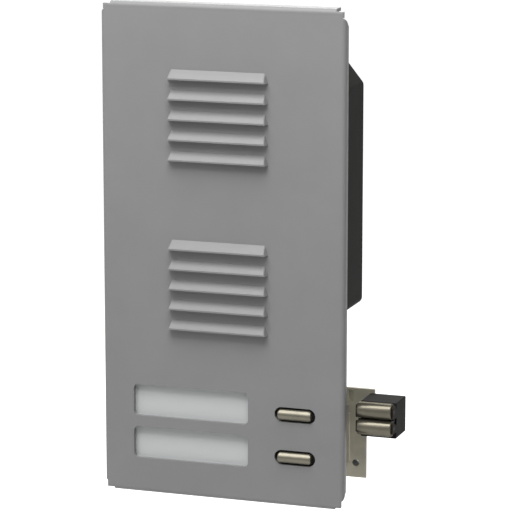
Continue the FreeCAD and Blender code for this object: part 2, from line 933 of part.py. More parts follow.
def terminal_block():
    """A row of screw terminals: a square wire port under a round screw well for each pole."""
    back = housing_back + terminal_proud
    length = pole_count * pole_pitch
    block = slab(0, terminal_z, length, terminal_height, speech_board_back, back)
    holes = []
    for x in pole_x():
        port_z = terminal_z - port_drop
        screw_z = terminal_z + clamp_screw_rise
        holes.append(slab(x, port_z, port_size, port_size, back - port_depth, back + 1))
        holes.append(small_rod(
            x, screw_z, back - clamp_screw_depth, back + 1, clamp_screw_radius))
    return block.cut(holes)


def terminal_screws():
    back = housing_back + terminal_proud
    z = terminal_z + clamp_screw_rise
    face = back - clamp_screw_sunk
    screws = []
    for x in pole_x():
        head = small_rod(x, z, back - clamp_screw_depth, face, clamp_screw_radius)
        slot = slab(
            x, z, 2 * clamp_screw_radius + 1, terminal_slot_width, face - terminal_slot_depth,
            face + 1,
        )
        screws.append(head.cut(slot))
    return screws


def trimmer_body(place):
    x, z = place
    back = speech_board_back + trimmer_height
    body = slab(x, z, trimmer_size, trimmer_size, speech_board_back, back)
    return body.cut(rod_back(x, z, back - rotor_depth, back + 1, rotor_radius + running_clearance))


def trimmer_rotor(place):
    """A rotor with a cross slot for a screwdriver."""
    x, z = place
    back = speech_board_back + trimmer_height
    face = back + rotor_proud
    rotor = rod_back(x, z, back - rotor_depth + running_clearance, face, rotor_radius)
    floor = face - rotor_slot_depth
    return rotor.cut([
        slab(x, z, rotor_slot_length, rotor_slot_width, floor, face + 1),
        slab(x, z, rotor_slot_width, rotor_slot_length, floor, face + 1),
    ])


def name_carrier():
    """The light moulding behind both name windows, with a stepped pocket for each."""
    middle = (name_left + name_right) / 2
    height = unit_top - unit_bottom
    carrier = slab(
        middle, (unit_top + unit_bottom) / 2, name_right - name_left, height,
        sheet, name_unit_back, unit_corner,
    )
    cuts = []
    for z in row_z:
        cuts.append(slab(
            window_x, z, window_width + 2 * window_clearance,
            window_height + 2 * window_clearance, sheet - 1, label_recess + 1, window_corner,
        ))
        cuts.append(slab(
            window_x, z, window_width + 2 * seat_lip, window_height + 2 * seat_lip,
            label_recess, name_unit_back + 1,
        ))
    for x in name_stud_x:
        for z in stud_z:
            cuts.append(small_rod(x, z, sheet - 1, name_unit_back + 1, stud_hole_radius))
    return carrier.cut(cuts)


def label_slab(z, d0, thickness):
    width = window_width + 2 * (seat_lip - seat_clearance)
    height = window_height + 2 * (seat_lip - seat_clearance)
    return slab(window_x, z, width, height, d0, d0 + thickness)


def name_window(z):
    return label_slab(z, label_recess, pane_thickness)


def name_card(z):
    return label_slab(z, label_recess + pane_thickness, card_thickness)


def light_diffuser(z):
    return label_slab(z, label_recess + pane_thickness + card_thickness, diffuser_thickness)


def unit_board(left, right, front, stud_columns):
    """A circuit board on the back of a unit, set in a little from its outline."""
    board = box(
        left + board_clearance, right - board_clearance, front, front + board_thickness,
        unit_bottom + board_clearance, unit_top - board_clearance,
    )
    holes = [
        small_rod(x, z, front - 1, front + board_thickness + 1, stud_hole_radius)
        for x in stud_columns for z in stud_z
    ]
    return board.cut(holes)


def lamp_board():
    return unit_board(name_left, name_right, name_unit_back, name_stud_x)


def lamps():
    lit = []
    step = window_width / lamp_count
    front = name_unit_back - lamp_height
    for z in row_z:
        for number in range(lamp_count):
            x = window_x + step * (number - (lamp_count - 1) / 2)
            lit.append(slab(x, z, lamp_width, lamp_depth, front, name_unit_back))
    return lit


def push_housing():
    middle_x = (push_unit_left + push_unit_right) / 2
    middle_z = (unit_top + unit_bottom) / 2
    body = slab(
        middle_x, middle_z, push_unit_right - push_unit_left, unit_top - unit_bottom,
        sheet, push_unit_back, unit_corner,
    )
    cuts = []
    width = slot_width + 2 * (collar_lap + pocket_clearance)
    height = slot_height + 2 * (collar_lap + pocket_clearance)
    well = bridge_length + 2 * contact_well_margin
    for z in push_z:
        cuts.append(slab(push_x, z, width, height, sheet - 1, floor_front, height / 2))
        cuts.append(rod_back(
            push_x, z, floor_front - 1, floor_back + 1, stem_radius + running_clearance))
        cuts.append(slab(push_x, z, well, contact_well_height, floor_back, push_unit_back + 1))
    for x in push_stud_x:
        for z in stud_z:
            cuts.append(small_rod(x, z, sheet - 1, push_unit_back + 1, stud_hole_radius))
    return body.cut(cuts)


def bell_push(z):
    """A crowned bar with a collar that stays behind the panel and a stem for spring and bridge."""
    width = slot_width - 2 * bar_gap
    height = slot_height - 2 * bar_height_gap
    left = push_x - width / 2
    low = Vector(left, face_y - bar_proud, z - height / 2)
    high = Vector(left, face_y - bar_proud, z + height / 2)
    crown = Vector(left, face_y - bar_proud - bar_crown, z)
    back_low = Vector(left, face_y + collar_front, z - height / 2)
    back_high = Vector(left, face_y + collar_front, z + height / 2)
    section = Part.Face(Part.Wire([
        Part.Arc(low, crown, high).toShape(),
        Part.makeLine(high, back_high),
        Part.makeLine(back_high, back_low),
        Part.makeLine(back_low, low),
    ]))
    bar = section.extrude(Vector(width, 0, 0))
    front = -bar_proud - bar_crown - 1
    bar = bar.common(slab(push_x, z, width, height, front, collar_front + 1, bar_corner))
    collar_width = slot_width + 2 * collar_lap
    collar_height = slot_height + 2 * collar_lap
    collar = slab(
        push_x, z, collar_width, collar_height, collar_front, collar_back, collar_height / 2)
    stem = rod_back(push_x, z, collar_back, bridge_back + stem_proud, stem_radius)
    return bar.fuse([collar, stem]).removeSplitter()


def contact_bridge(z):
    strip = slab(push_x, z, bridge_length, bridge_width, bridge_front, bridge_back)
    return strip.cut(rod_back(push_x, z, bridge_front - 1, bridge_back + 1, stem_radius))


def push_spring(z):
    length = spring_room - spring_wire - 2 * spring_end_clearance
    radius = stem_radius + spring_side_clearance + spring_wire / 2
    winding = coil(spring_wire, radius, length / spring_turns, spring_turns, spring_steps)
    winding.rotate(Vector(0, 0, 0), Vector(1, 0, 0), -90)
    start = collar_back + spring_wire / 2 + spring_end_clearance
    winding.translate(Vector(push_x, face_y + start, z))
    return winding


def fixed_contacts():
    pins = []
    for z in push_z:
        for side in (-1, 1):
            pins.append(small_rod(
                push_x + side * contact_offset, z, contact_front, push_unit_back, contact_radius))
    return pins


def contact_board():
    return unit_board(push_unit_left, push_unit_right, push_unit_back, push_stud_x)


def push_terminals():
    front = contact_board_back
    back = front + push_terminal_depth
    middle = (row_z[0] + row_z[1]) / 2
    left = push_x + push_terminal_shift
    block = slab(left, middle, push_terminal_width, push_terminal_height, front, back)
    holes = []
    for number in range(push_terminal_count):
        x = left + push_terminal_pitch * (number - (push_terminal_count - 1) / 2)
        port = slab(
            x, middle - push_port_drop, push_port_size, push_port_size, back - push_port_depth,
            back + 1,
        )
        holes.append(port)
        holes.append(small_rod(
            x, middle + push_screw_rise, back - push_screw_depth, back + 1, push_screw_radius))
    return block.cut(holes)


def catch_bracket():
    """A Z-folded sheet: foot on the push unit's board, leg running back, face turned outwards."""
    toe = leg_right - foot_width
    corners = [
        (toe, foot_front), (leg_right, foot_front), (leg_right, bracket_face),
        (bracket_lower_right, bracket_face), (bracket_lower_right, bracket_back),
        (leg_left, bracket_back), (leg_left, foot_back), (toe, foot_back),
    ]
    points = [Vector(x, face_y + d, leg_bottom) for x, d in corners]
    fold = Part.Face(Part.makePolygon(points + points[:1])).extrude(
        Vector(0, 0, leg_top - leg_bottom))
    outer = upright_edges(fold, ((leg_right, foot_front), (leg_left, bracket_back)))
    fold = fold.makeFillet(bracket_bend, outer)
    inner = upright_edges(fold, ((leg_right, bracket_face), (leg_left, foot_back)))
    inner_bend = max(bracket_bend - bracket_sheet, 0.1)
    fold = fold.makeFillet(inner_bend, inner)

    bend_end = leg_right + inner_bend
    foot = box(
        toe, leg_left - inner_bend, foot_front, foot_back,
        unit_bottom + board_clearance, unit_top - board_clearance,
    )
    face = box(
        bend_end, bracket_lower_right, bracket_face, bracket_back, bracket_bottom, bracket_top)
    below = box(
        leg_left, bend_end, bracket_face, bracket_back, bracket_bottom, leg_bottom - leg_cut)
    lobe = box(
        lobe_left, catch_left + lobe_lap, bracket_face, bracket_back, leg_top + leg_cut,
        bracket_top,
    )
    tab = box(
        bend_end, catch_left + catch_width - tab_end_gap, bracket_face, bracket_back,
        catch_z - catch_height / 2 + tab_bottom_gap, catch_z + catch_height / 2 - tab_top_gap,
    )
    rise = box(
        leg_left, leg_right, foot_back, bracket_face - leg_relief, leg_top, leg_top + leg_rise)
    near = bracket_face - 1
    far = bracket_back + 1
    slug_end = bracket_back + pressed_slot_depth
    plate = fold.fuse(
        [foot, face, below, lobe, tab, rise, pressed_slot(bracket_face, slug_end)])
    cuts = [
        pressed_slot(near, bracket_face + pressed_slot_depth),
        rod_back(fixing_hole_x, fixing_hole_z, near, far, fixing_hole_radius),
    ]
    for z in stud_z:
        cuts.append(small_rod(push_stud_x[1], z, foot_front - 1, foot_back + 1, stud_hole_radius))
    for x, z in catch_screw_places():
        cuts.append(small_rod(x, z, near, far, catch_screw_radius))
    return plate.cut(cuts).removeSplitter()


def pressed_slot(d0, d1):
    """The outline of the rib that is half sheared backwards out of the bracket, as a slab."""
    x = leg_right + pressed_slot_offset
    z = bracket_top - pressed_slot_drop - pressed_slot_height / 2
    return slab(
        x, z, pressed_slot_width, pressed_slot_height, d0, d1, pressed_slot_width / 2)


def upright_edges(shape, corners):
    """The edges of a fold that stand upright at corners given as (x, d)."""
    found = []
    for x, d in corners:
        found += edges_along(
            shape, Vector(0, 0, 1),
            lambda point: abs(point.x - x) + abs(point.y - face_y - d) < 1e-3,
        )
    return found


def catch_screw_places():
    half = catch_screw_spacing / 2
    return [(catch_x - half, catch_z), (catch_x + half, catch_z)]


def pin_z(side):
    return catch_z + side * pin_spacing / 2


def roller_z(side):
    return catch_z + roller_rise + side * roller_spacing / 2


def catch_body():
    """The black moulded block, open to the front, in which both roller arms are pivoted."""
    body = slab(
        catch_x, catch_z, catch_width, catch_height, catch_front, bracket_face, catch_corner)
    cavity = slab(
        catch_x, catch_z, 2 * cavity_half, 2 * cavity_half_height, catch_front - 1,
        bracket_face - catch_back_wall,
    )
    cuts = [cavity]
    for side in (1, -1):
        cuts.append(arm_pin(side))
    for x, z in catch_screw_places():
        cuts.append(small_rod(x, z, catch_screw_front, bracket_face + 1, catch_screw_radius))
    return body.cut(cuts)


def arm_pin(side):
    """One pivot pin, held in blind holes in both side walls."""
    return rod_across(
        catch_left + pin_cover, catch_left + catch_width - pin_cover, pin_d, pin_z(side),
        axle_radius,
    )


def catch_screws():
    screws = []
    face = bracket_back + catch_head_height
    for x, z in catch_screw_places():
        shank = small_rod(
            x, z, catch_screw_front, bracket_back + catch_screw_proud, catch_screw_radius)
        head = small_rod(x, z, bracket_back, face, catch_head_radius)
        slot = slab(
            x, z, 2 * catch_head_radius + 1, screw_slot_width, face - screw_slot_depth, face + 1)
        screws.append(head.fuse(shank).cut(slot).removeSplitter())
    return screws


def roller_arm(side):
    """A stirrup of bent sheet. Its cheeks stand wide in front of the block, where they hold the
    roller, step inwards through a web and run back beside the pivot pin, joined by a bridge."""
    knee = (knee_d, catch_z + side * knee_offset, knee_radius)
    pivot = (pin_d, pin_z(side), pivot_radius)
    sheets = []
    for hand in (-1, 1):
        wide = sorted((catch_x + hand * cheek_inner, catch_x + hand * cheek_outer))
        narrow = sorted((catch_x + hand * arm_inner, catch_x + hand * arm_outer))
        across = sorted((catch_x + hand * arm_inner, catch_x + hand * cheek_outer))
        front = roller_cheek(wide[0], wide[1], side)
        rear = hull_of_rounds(narrow[0], narrow[1], [knee, pivot])
        rear = rear.common(between_depths(web_front, bracket_face))
        web = box(
            across[0], across[1], web_front, web_back, knee[1] - web_half, knee[1] + web_half)
        sheets += [front, web, rear]
    near = catch_z + side * bridge_plate_offset
    far = near + side * arm_sheet
    sheets.append(box(
        catch_x - arm_inner - arm_sheet / 2, catch_x + arm_inner + arm_sheet / 2,
        pin_d - bridge_plate_front, pin_d - bridge_plate_back, min(near, far), max(near, far),
    ))
    arm = sheets[0].fuse(sheets[1:])
    x0 = catch_x - catch_width
    x1 = catch_x + catch_width
    holes = [
        rod_across(x0, x1, pivot[0], pivot[1], axle_radius + running_clearance),
        rod_across(x0, x1, roller_d, roller_z(side), axle_radius),
    ]
    return arm.cut(holes).removeSplitter()


def roller_cheek(x0, x1, side):
    """One cheek beside a roller. The cheeks of both arms almost meet in the middle."""
    inner = catch_z + roller_rise + side * cheek_gap / 2
    outer = roller_z(side) + side * cheek_rise
    knee_z = catch_z + side * knee_offset
    front = roller_d - cheek_front
    cheek = side_face([
        (front, inner), (front, outer), (roller_d + cheek_front, outer),
        (web_back, knee_z + side * web_half), (web_back, knee_z - side * web_half),
    ], x0).extrude(Vector(x1 - x0, 0, 0))
    corners = edges_along(
        cheek, Vector(1, 0, 0), lambda point: point.y - face_y < front + 0.001)
    return cheek.makeFillet(cheek_round, corners)


def between_depths(d0, d1):
    """A slab far wider than the catch, to keep what lies between two depths."""
    return slab(catch_x, catch_z, 4 * catch_width, 4 * catch_height, d0, d1)


def roller_axle(side):
    return rod_across(
        catch_x - cheek_outer, catch_x + cheek_outer, roller_d, roller_z(side), axle_radius)


def catch_roller(side):
    z = roller_z(side)
    half = roller_length / 2
    roller = rod_across(catch_x - half, catch_x + half, roller_d, z, roller_radius)
    rims = [edge for edge in roller.Edges if edge.Closed and len(edge.Vertexes) == 1]
    roller = roller.makeChamfer(roller_edge, rims)
    bore = axle_radius + running_clearance
    return roller.cut(rod_across(catch_x - half - 1, catch_x + half + 1, roller_d, z, bore))


def arm_spring(side):
    """A torsion spring about the pivot pin; one end bears on the bridge, one on the back wall."""
    length = torsion_pitch * torsion_turns
    spring = coil(
        torsion_wire, torsion_radius, torsion_pitch, torsion_turns, torsion_steps,
        torsion_tail, torsion_lead,
    )
    spring.rotate(Vector(0, 0, 0), Vector(0, 1, 0), -90)
    spring.rotate(Vector(0, 0, 0), Vector(1, 0, 0), 180)
    if side < 0:
        spring.rotate(Vector(0, 0, 0), Vector(0, 1, 0), 180)
    spring.translate(Vector(catch_x + side * length / 2, face_y + pin_d, pin_z(side)))
    return spring


def solids_of(shape):
    """One shape for the file, from a single solid or a list of separate ones."""
    if isinstance(shape, list):
        return Part.makeCompound([solid for item in shape for solid in item.Solids])
    return shape.Solids[0] if len(shape.Solids) == 1 else Part.makeCompound(shape.Solids)


def pieces():
    found = {
        "front_panel": front_panel(),
        "weld_studs": weld_studs(),
        "stud_nuts": stud_nuts(),
        "acoustic_mesh": acoustic_mesh(),
        "speech_housing": speech_housing(),
        "housing_gasket": housing_gasket(),
        "baffle": baffle(),
        "baffle_screws": baffle_screws(),
        "speaker_basket": speaker_basket(),
        "speaker_cone": speaker_cone(),
        "speaker_magnet": speaker_magnet(),
        "speaker_clamps": speaker_clamps(),
        "microphone_boot": microphone_boot(),
        "microphone_capsule": microphone_capsule(),
        "speech_board": speech_board(),
        "board_screws": board_screws(),
        "board_capacitors": board_capacitors(),
        "board_chips": board_chips(),
        "terminal_block": terminal_block(),
        "terminal_screws": terminal_screws(),
        "name_carrier": name_carrier(),
        "lamp_board": lamp_board(),
        "lamps": lamps(),
        "push_housing": push_housing(),
        "fixed_contacts": fixed_contacts(),
        "contact_board": contact_board(),
        "push_terminals": push_terminals(),
        "catch_bracket": catch_bracket(),
        "catch_body": catch_body(),
        "catch_screws": catch_screws(),
    }
    for name, place in zip(("volume_trimmer", "microphone_trimmer"), trimmer_places()):
        found[name + "_body"] = trimmer_body(place)
        found[name + "_rotor"] = trimmer_rotor(place)
    for number, level in enumerate(("upper", "lower")):
        found["name_window_" + level] = name_window(row_z[number])
        found["name_card_" + level] = name_card(row_z[number])
        found["light_diffuser_" + level] = light_diffuser(row_z[number])
        found["bell_push_" + level] = bell_push(push_z[number])
        found["contact_bridge_" + level] = contact_bridge(push_z[number])
        found["push_spring_" + level] = push_spring(push_z[number])
    for side, level in ((1, "upper"), (-1, "lower")):
        found["roller_arm_" + level] = roller_arm(side)
        found["roller_axle_" + level] = roller_axle(side)
        found["catch_roller_" + level] = catch_roller(side)
        found["arm_pin_" + level] = arm_pin(side)
        found["arm_spring_" + level] = arm_spring(side)
    return found


for name, shape in pieces().items():
    solids_of(shape).exportStep("parts/" + name + ".step")
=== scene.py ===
import json
import math

import bmesh
import bpy
import numpy as np
from bpy.props import FloatProperty, FloatVectorProperty, PointerProperty
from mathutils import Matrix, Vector


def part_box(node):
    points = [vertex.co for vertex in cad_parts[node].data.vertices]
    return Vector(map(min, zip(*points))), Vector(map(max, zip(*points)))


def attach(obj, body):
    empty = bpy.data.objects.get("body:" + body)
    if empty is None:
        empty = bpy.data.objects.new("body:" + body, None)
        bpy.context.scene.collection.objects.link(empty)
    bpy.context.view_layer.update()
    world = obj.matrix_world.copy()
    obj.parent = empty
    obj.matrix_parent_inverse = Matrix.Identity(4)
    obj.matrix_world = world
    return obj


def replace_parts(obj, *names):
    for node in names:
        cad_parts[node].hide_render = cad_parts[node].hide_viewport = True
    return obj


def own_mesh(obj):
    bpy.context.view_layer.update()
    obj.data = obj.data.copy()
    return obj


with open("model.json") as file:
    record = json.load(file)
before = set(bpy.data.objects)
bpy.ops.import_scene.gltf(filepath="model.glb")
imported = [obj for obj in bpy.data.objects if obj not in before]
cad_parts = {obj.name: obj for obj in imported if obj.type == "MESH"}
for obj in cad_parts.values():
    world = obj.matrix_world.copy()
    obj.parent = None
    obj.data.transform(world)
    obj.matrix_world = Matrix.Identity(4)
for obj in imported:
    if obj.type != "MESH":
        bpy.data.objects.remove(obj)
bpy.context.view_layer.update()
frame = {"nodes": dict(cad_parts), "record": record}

bl_info = {
    "name": "Intercom door station",
    "version": (1, 0, 0),
    "blender": (4, 5, 0),
    "location": "3D View > Sidebar > Door station",
    "description": "Finishes, fine pieces, stage and camera for a louvred intercom door station",
    "category": "Object",
}

# Shapes are worked out in millimetres, and Blender keeps metres.
MM = 1000.0
# The front's outer face, and the radius over the crests of the M3 threads, in millimetres.
FACE_Y = -4.5
M3_RADIUS = 1.5
# Corners nearer than the first become one, and edges shorter than the second go, in metres.
MERGED, DISSOLVED = 2e-6, 1e-7
LEVELS = ("upper", "lower")
# For each axis, the two directions across it and then its own.
AXES = {
    "X": ((0.0, 1.0, 0.0), (0.0, 0.0, 1.0), (1.0, 0.0, 0.0)),
    "Y": ((1.0, 0.0, 0.0), (0.0, 0.0, 1.0), (0.0, 1.0, 0.0)),
}
# For each lamp, azimuth and elevation in degrees, then distance, size and aim in metres.
LAMPS = {
    "key": (3.0, 61.0, 0.62, (0.6, 0.45), (-0.02, 0.0, 0.18)),
    "fill": (-20.0, 36.0, 1.2, (0.6, 0.5), (0.0, 0.0, 0.12)),
    "back": (-155.0, 40.0, 1.1, (0.8, 0.6), (0.0, 0.03, 0.1)),
}


class StationStage(bpy.types.PropertyGroup):
    """The camera and the lights."""

    azimuth: FloatProperty(
        name="Azimuth", description="How far right of the front the camera stands",
        default=math.radians(19.1), subtype="ANGLE")
    elevation: FloatProperty(
        name="Elevation", description="How far above level the camera stands",
        default=math.radians(11.4), subtype="ANGLE")
    distance: FloatProperty(
        name="Distance", description="From the camera to the point it looks at",
        default=1.25, unit="LENGTH")
    target: FloatVectorProperty(
        name="Target", description="The point that the camera looks at",
        default=(0.0159, -0.0045, 0.111), subtype="XYZ", unit="LENGTH")
    lens: FloatProperty(
        name="Lens", description="Focal length in millimetres on a 36 mm sensor", default=202.2)
    floor_drop: FloatProperty(
        name="Floor drop", description="How far the floor lies below the object",
        default=0.22, unit="LENGTH")
    key_power: FloatProperty(
        name="Key power", description="Power of the broad lamp above the front",
        default=7.7, unit="POWER")
    fill_power: FloatProperty(
        name="Fill power", description="Power of the weak lamp in front",
        default=2.4, unit="POWER")
    back_power: FloatProperty(
        name="Back power", description="Power of the lamp behind the left side",
        default=7.0, unit="POWER")
    ambient: FloatProperty(
        name="Ambient", description="Strength of the even light from all round", default=0.26)


class StationSizes(bpy.types.PropertyGroup):
    """The sizes of the fine pieces, in metres as Blender keeps them."""

    bar_width: FloatProperty(
        name="Bar width", description="Length of a bell push's bar from end to end",
        default=0.0152, unit="LENGTH")
    bar_height: FloatProperty(
        name="Bar height", description="Height of a bell push's bar",
        default=0.0048, unit="LENGTH")
    bar_crown: FloatProperty(
        name="Bar crown", description="How far the bar's middle stands before its long edges",
        default=0.0015, unit="LENGTH")
    roller_radius: FloatProperty(
        name="Roller radius", description="Radius of the catch's rollers",
        default=0.0036, unit="LENGTH")
    thread_pitch: FloatProperty(
        name="Thread pitch", description="From turn to turn of the M3 thread",
        default=0.0005, unit="LENGTH")
    nut_flats: FloatProperty(
        name="Nut flats", description="Width of the M3 nuts over their flats",
        default=0.0055, unit="LENGTH")


class StationColours(bpy.types.PropertyGroup):
    """The colours of the finishes, as linear values."""

    coat: FloatVectorProperty(
        name="Coat", description="Powder coat of the front", subtype="COLOR",
        default=(0.196, 0.195, 0.196))
    black: FloatVectorProperty(
        name="Black", description="Black mouldings", subtype="COLOR",
        default=(0.021, 0.0205, 0.0195))
    light: FloatVectorProperty(
        name="Light moulding", description="Moulding behind the name windows", subtype="COLOR",
        default=(0.26, 0.26, 0.265))
    card: FloatVectorProperty(
        name="Card", description="Name cards", subtype="COLOR", default=(0.60, 0.615, 0.615))
    zinc: FloatVectorProperty(
        name="Zinc", description="Passivated zinc of the bracket", subtype="COLOR",
        default=(0.44, 0.415, 0.34))
    nickel: FloatVectorProperty(
        name="Nickel", description="Nickel of pushes and rollers", subtype="COLOR",
        default=(0.135, 0.125, 0.098))
    board: FloatVectorProperty(
        name="Board", description="Lacquer of the circuit boards", subtype="COLOR",
        default=(0.012, 0.10, 0.035))


def add_node(tree, kind, values=None, **options):
    """A node of one kind with its options and the values of its sockets."""
    node = tree.nodes.new(kind)
    for name, value in options.items():
        setattr(node, name, value)
    for socket, value in (values or {}).items():
        node.inputs[socket].default_value = value
    return node


def new_finish(name):
    """An empty material with its shader, and a mapped object coordinate in millimetres."""
    material = bpy.data.materials.new(name)
    material.use_nodes = True
    tree = material.node_tree
    tree.nodes.clear()
    shader = add_node(tree, "ShaderNodeBsdfPrincipled")
    output = add_node(tree, "ShaderNodeOutputMaterial")
    tree.links.new(shader.outputs[0], output.inputs[0])
    place = add_node(tree, "ShaderNodeTexCoord")
    scale = add_node(tree, "ShaderNodeMapping", {"Scale": (MM, MM, MM)})
    tree.links.new(place.outputs["Object"], scale.inputs["Vector"])
    return material, tree, shader, scale.outputs["Vector"]


def stretched(tree, point, factors):
    """The same point, stretched by a factor along each axis."""
    mapping = add_node(tree, "ShaderNodeMapping", {"Scale": factors})
    tree.links.new(point, mapping.inputs["Vector"])
    return mapping.outputs["Vector"]


def grain(tree, point, per_mm, detail=3.0, roughness=0.55):
    """Noise with so many waves to a millimetre."""
    noise = add_node(
        tree, "ShaderNodeTexNoise",
        {"Scale": per_mm, "Detail": detail, "Roughness": roughness})
    tree.links.new(point, noise.inputs["Vector"])
    return noise.outputs["Fac"]


def greatest(tree, values):
    """The greatest of several values."""
    most = values[0]
    for value in values[1:]:
        either = add_node(tree, "ShaderNodeMath", operation="MAXIMUM")
        tree.links.new(most, either.inputs[0])
        tree.links.new(value, either.inputs[1])
        most = either.outputs[0]
    return most


def shade(colour, factor):
    """A colour with its channels times a factor, and none above 1."""
    return tuple(min(channel * factor, 1.0) for channel in colour)


def mottle(tree, shader, value, colour, dark, light, start=0.3, end=0.7):
    """Takes the base colour from a darker to a lighter shade as a value goes from start to end."""
    ramp = add_node(tree, "ShaderNodeValToRGB")
    first, last = ramp.color_ramp.elements
    first.position, last.position = start, end
    first.color = (*shade(colour, dark), 1.0)
    last.color = (*shade(colour, light), 1.0)
    tree.links.new(value, ramp.inputs["Fac"])
    tree.links.new(ramp.outputs["Color"], shader.inputs["Base Color"])


def roughen(tree, shader, value, low, high):
    """Takes the roughness from low to high over the middle of a value's range."""
    ramp = add_node(
        tree, "ShaderNodeMapRange",
        {"From Min": 0.3, "From Max": 0.7, "To Min": low, "To Max": high})
    tree.links.new(value, ramp.inputs["Value"])
    tree.links.new(ramp.outputs["Result"], shader.inputs["Roughness"])


def raise_surface(tree, shader, height, depth_mm, strength, before=None):
    """A bump of a depth in millimetres, added to any earlier one."""
    bump = add_node(
        tree, "ShaderNodeBump", {"Strength": strength, "Distance": depth_mm / MM})
    tree.links.new(height, bump.inputs["Height"])
    if before is not None:
        tree.links.new(before, bump.inputs["Normal"])
    tree.links.new(bump.outputs["Normal"], shader.inputs["Normal"])
    return bump.outputs["Normal"]


def powder_coat(name, colour):
    """Baked powder: a fine orange peel, faint clouds in the colour and a satin sheen."""
    material, tree, shader, point = new_finish(name)
    clouds = grain(tree, point, per_mm=0.05, detail=4.0)
    mottle(tree, shader, clouds, colour, dark=0.97, light=1.03)
    roughen(tree, shader, grain(tree, point, per_mm=0.6), low=0.40, high=0.52)
    peel = raise_surface(
        tree, shader, grain(tree, point, per_mm=0.9, detail=1.0), depth_mm=0.03, strength=0.35)
    raise_surface(
        tree, shader, grain(tree, point, per_mm=4.0, detail=2.0), depth_mm=0.008, strength=0.3,
        before=peel)
    shader.inputs["Specular IOR Level"].default_value = 0.3
    return material


def moulding(name, colour, roughness=0.42, texture=0.006, gloss=0.4):
    """A plastic moulding with a fine spark-eroded texture, whose depth is in millimetres."""
    material, tree, shader, point = new_finish(name)
    shader.inputs["Specular IOR Level"].default_value = gloss
    mottle(tree, shader, grain(tree, point, per_mm=0.08), colour, dark=0.9, light=1.12)
    roughen(tree, shader, grain(tree, point, per_mm=1.5),
            low=roughness - 0.05, high=roughness + 0.06)
    sparks = grain(tree, point, per_mm=7.0, detail=2.0)
    raise_surface(tree, shader, sparks, depth_mm=texture, strength=0.5)
    return material


def plated(name, colour, roughness, brush=(1.0, 1.0, 1.0), waves=6.0, depth=0.004, metallic=1.0,
           streaks=0.07, edge=1.0, gloss=0.2):
    """A plated metal: fine brush lines along one axis and clouds in the plating. A dull plating
    is metallic only in part, and its edge value lowers the reflection at a grazing angle."""
    material, tree, shader, point = new_finish(name)
    shader.inputs["Metallic"].default_value = metallic
    shader.inputs["Specular IOR Level"].default_value = gloss
    shader.inputs["Specular Tint"].default_value = (edge, edge, edge, 1.0)
    clouds = grain(tree, point, per_mm=0.15, detail=4.0)
    mottle(tree, shader, clouds, colour, dark=0.88, light=1.08)
    lines = grain(tree, stretched(tree, point, brush), per_mm=waves, detail=2.0)
    roughen(tree, shader, lines, low=roughness - streaks, high=roughness + streaks)
    raise_surface(tree, shader, lines, depth_mm=depth, strength=0.4)
    return material


def paper(name, colour):
    """Smooth card with faint fibres."""
    material, tree, shader, point = new_finish(name)
    fibre = grain(tree, stretched(tree, point, (1.0, 1.0, 3.0)), per_mm=1.2, detail=4.0)
    mottle(tree, shader, fibre, colour, dark=0.97, light=1.0)
    shader.inputs["Roughness"].default_value = 0.75
    raise_surface(tree, shader, fibre, depth_mm=0.01, strength=0.3)
    return material


def frosted_pane(name, colour):
    """The pane of a name window: milky, so that the card behind it barely shows."""
    material, tree, shader, point = new_finish(name)
    shader.inputs["Base Color"].default_value = (*colour, 1.0)
    shader.inputs["Alpha"].default_value = 0.85
    shader.inputs["Specular IOR Level"].default_value = 0.15
    roughen(tree, shader, grain(tree, point, per_mm=0.8), low=0.04, high=0.12)
    waves = grain(tree, point, per_mm=0.05, detail=1.0)
    raise_surface(tree, shader, waves, depth_mm=0.02, strength=0.2)
    return material


def woven(name, colour, thread_mm):
    """Fine black gauze: two sets of threads crossed at right angles."""
    material, tree, shader, point = new_finish(name)
    one_a_unit = 0.31416  # the scale at which a wave texture has one wave to a unit
    waves = []
    for direction in ("X", "Z"):
        wave = add_node(
            tree, "ShaderNodeTexWave", {"Scale": one_a_unit / thread_mm}, wave_type="BANDS",
            bands_direction=direction, wave_profile="SIN")
        tree.links.new(point, wave.inputs["Vector"])
        waves.append(wave.outputs["Fac"])
    height = greatest(tree, waves)
    mottle(tree, shader, height, colour, dark=0.3, light=1.6, start=0.2, end=0.9)
    shader.inputs["Roughness"].default_value = 0.7
    raise_surface(tree, shader, height, depth_mm=0.15, strength=0.8)
    return material


def lacquered_board(name, colour):
    """A circuit board: glass weave under green lacquer with faint wide tracks."""
    material, tree, shader, point = new_finish(name)
    brick = add_node(
        tree, "ShaderNodeTexBrick",
        {"Scale": 0.5, "Mortar Size": 0.06, "Brick Width": 1.4, "Row Height": 0.5,
         "Color1": (1.0, 1.0, 1.0, 1.0), "Color2": (0.6, 0.6, 0.6, 1.0),
         "Mortar": (0.0, 0.0, 0.0, 1.0)})
    upright = add_node(tree, "ShaderNodeMapping", {"Rotation": (math.radians(90.0), 0.0, 0.0)})
    tree.links.new(point, upright.inputs["Vector"])
    tree.links.new(upright.outputs["Vector"], brick.inputs["Vector"])
    tracks = brick.outputs["Color"]
    mottle(tree, shader, tracks, colour, dark=0.6, light=1.5, start=0.0, end=1.0)
    roughen(tree, shader, grain(tree, point, per_mm=2.0), low=0.22, high=0.38)
    raise_surface(tree, shader, tracks, depth_mm=0.03, strength=0.4)
    shader.inputs["Coat Weight"].default_value = 0.4
    return material


def foam(name, colour):
    """Open-celled foam."""
    material, tree, shader, point = new_finish(name)
    voronoi = add_node(tree, "ShaderNodeTexVoronoi", {"Scale": 2.2})
    tree.links.new(point, voronoi.inputs["Vector"])
    cells = voronoi.outputs["Distance"]
    mottle(tree, shader, cells, colour, dark=0.5, light=1.6, start=0.0, end=0.6)
    shader.inputs["Roughness"].default_value = 0.9
    raise_surface(tree, shader, cells, depth_mm=0.2, strength=0.6)
    return material


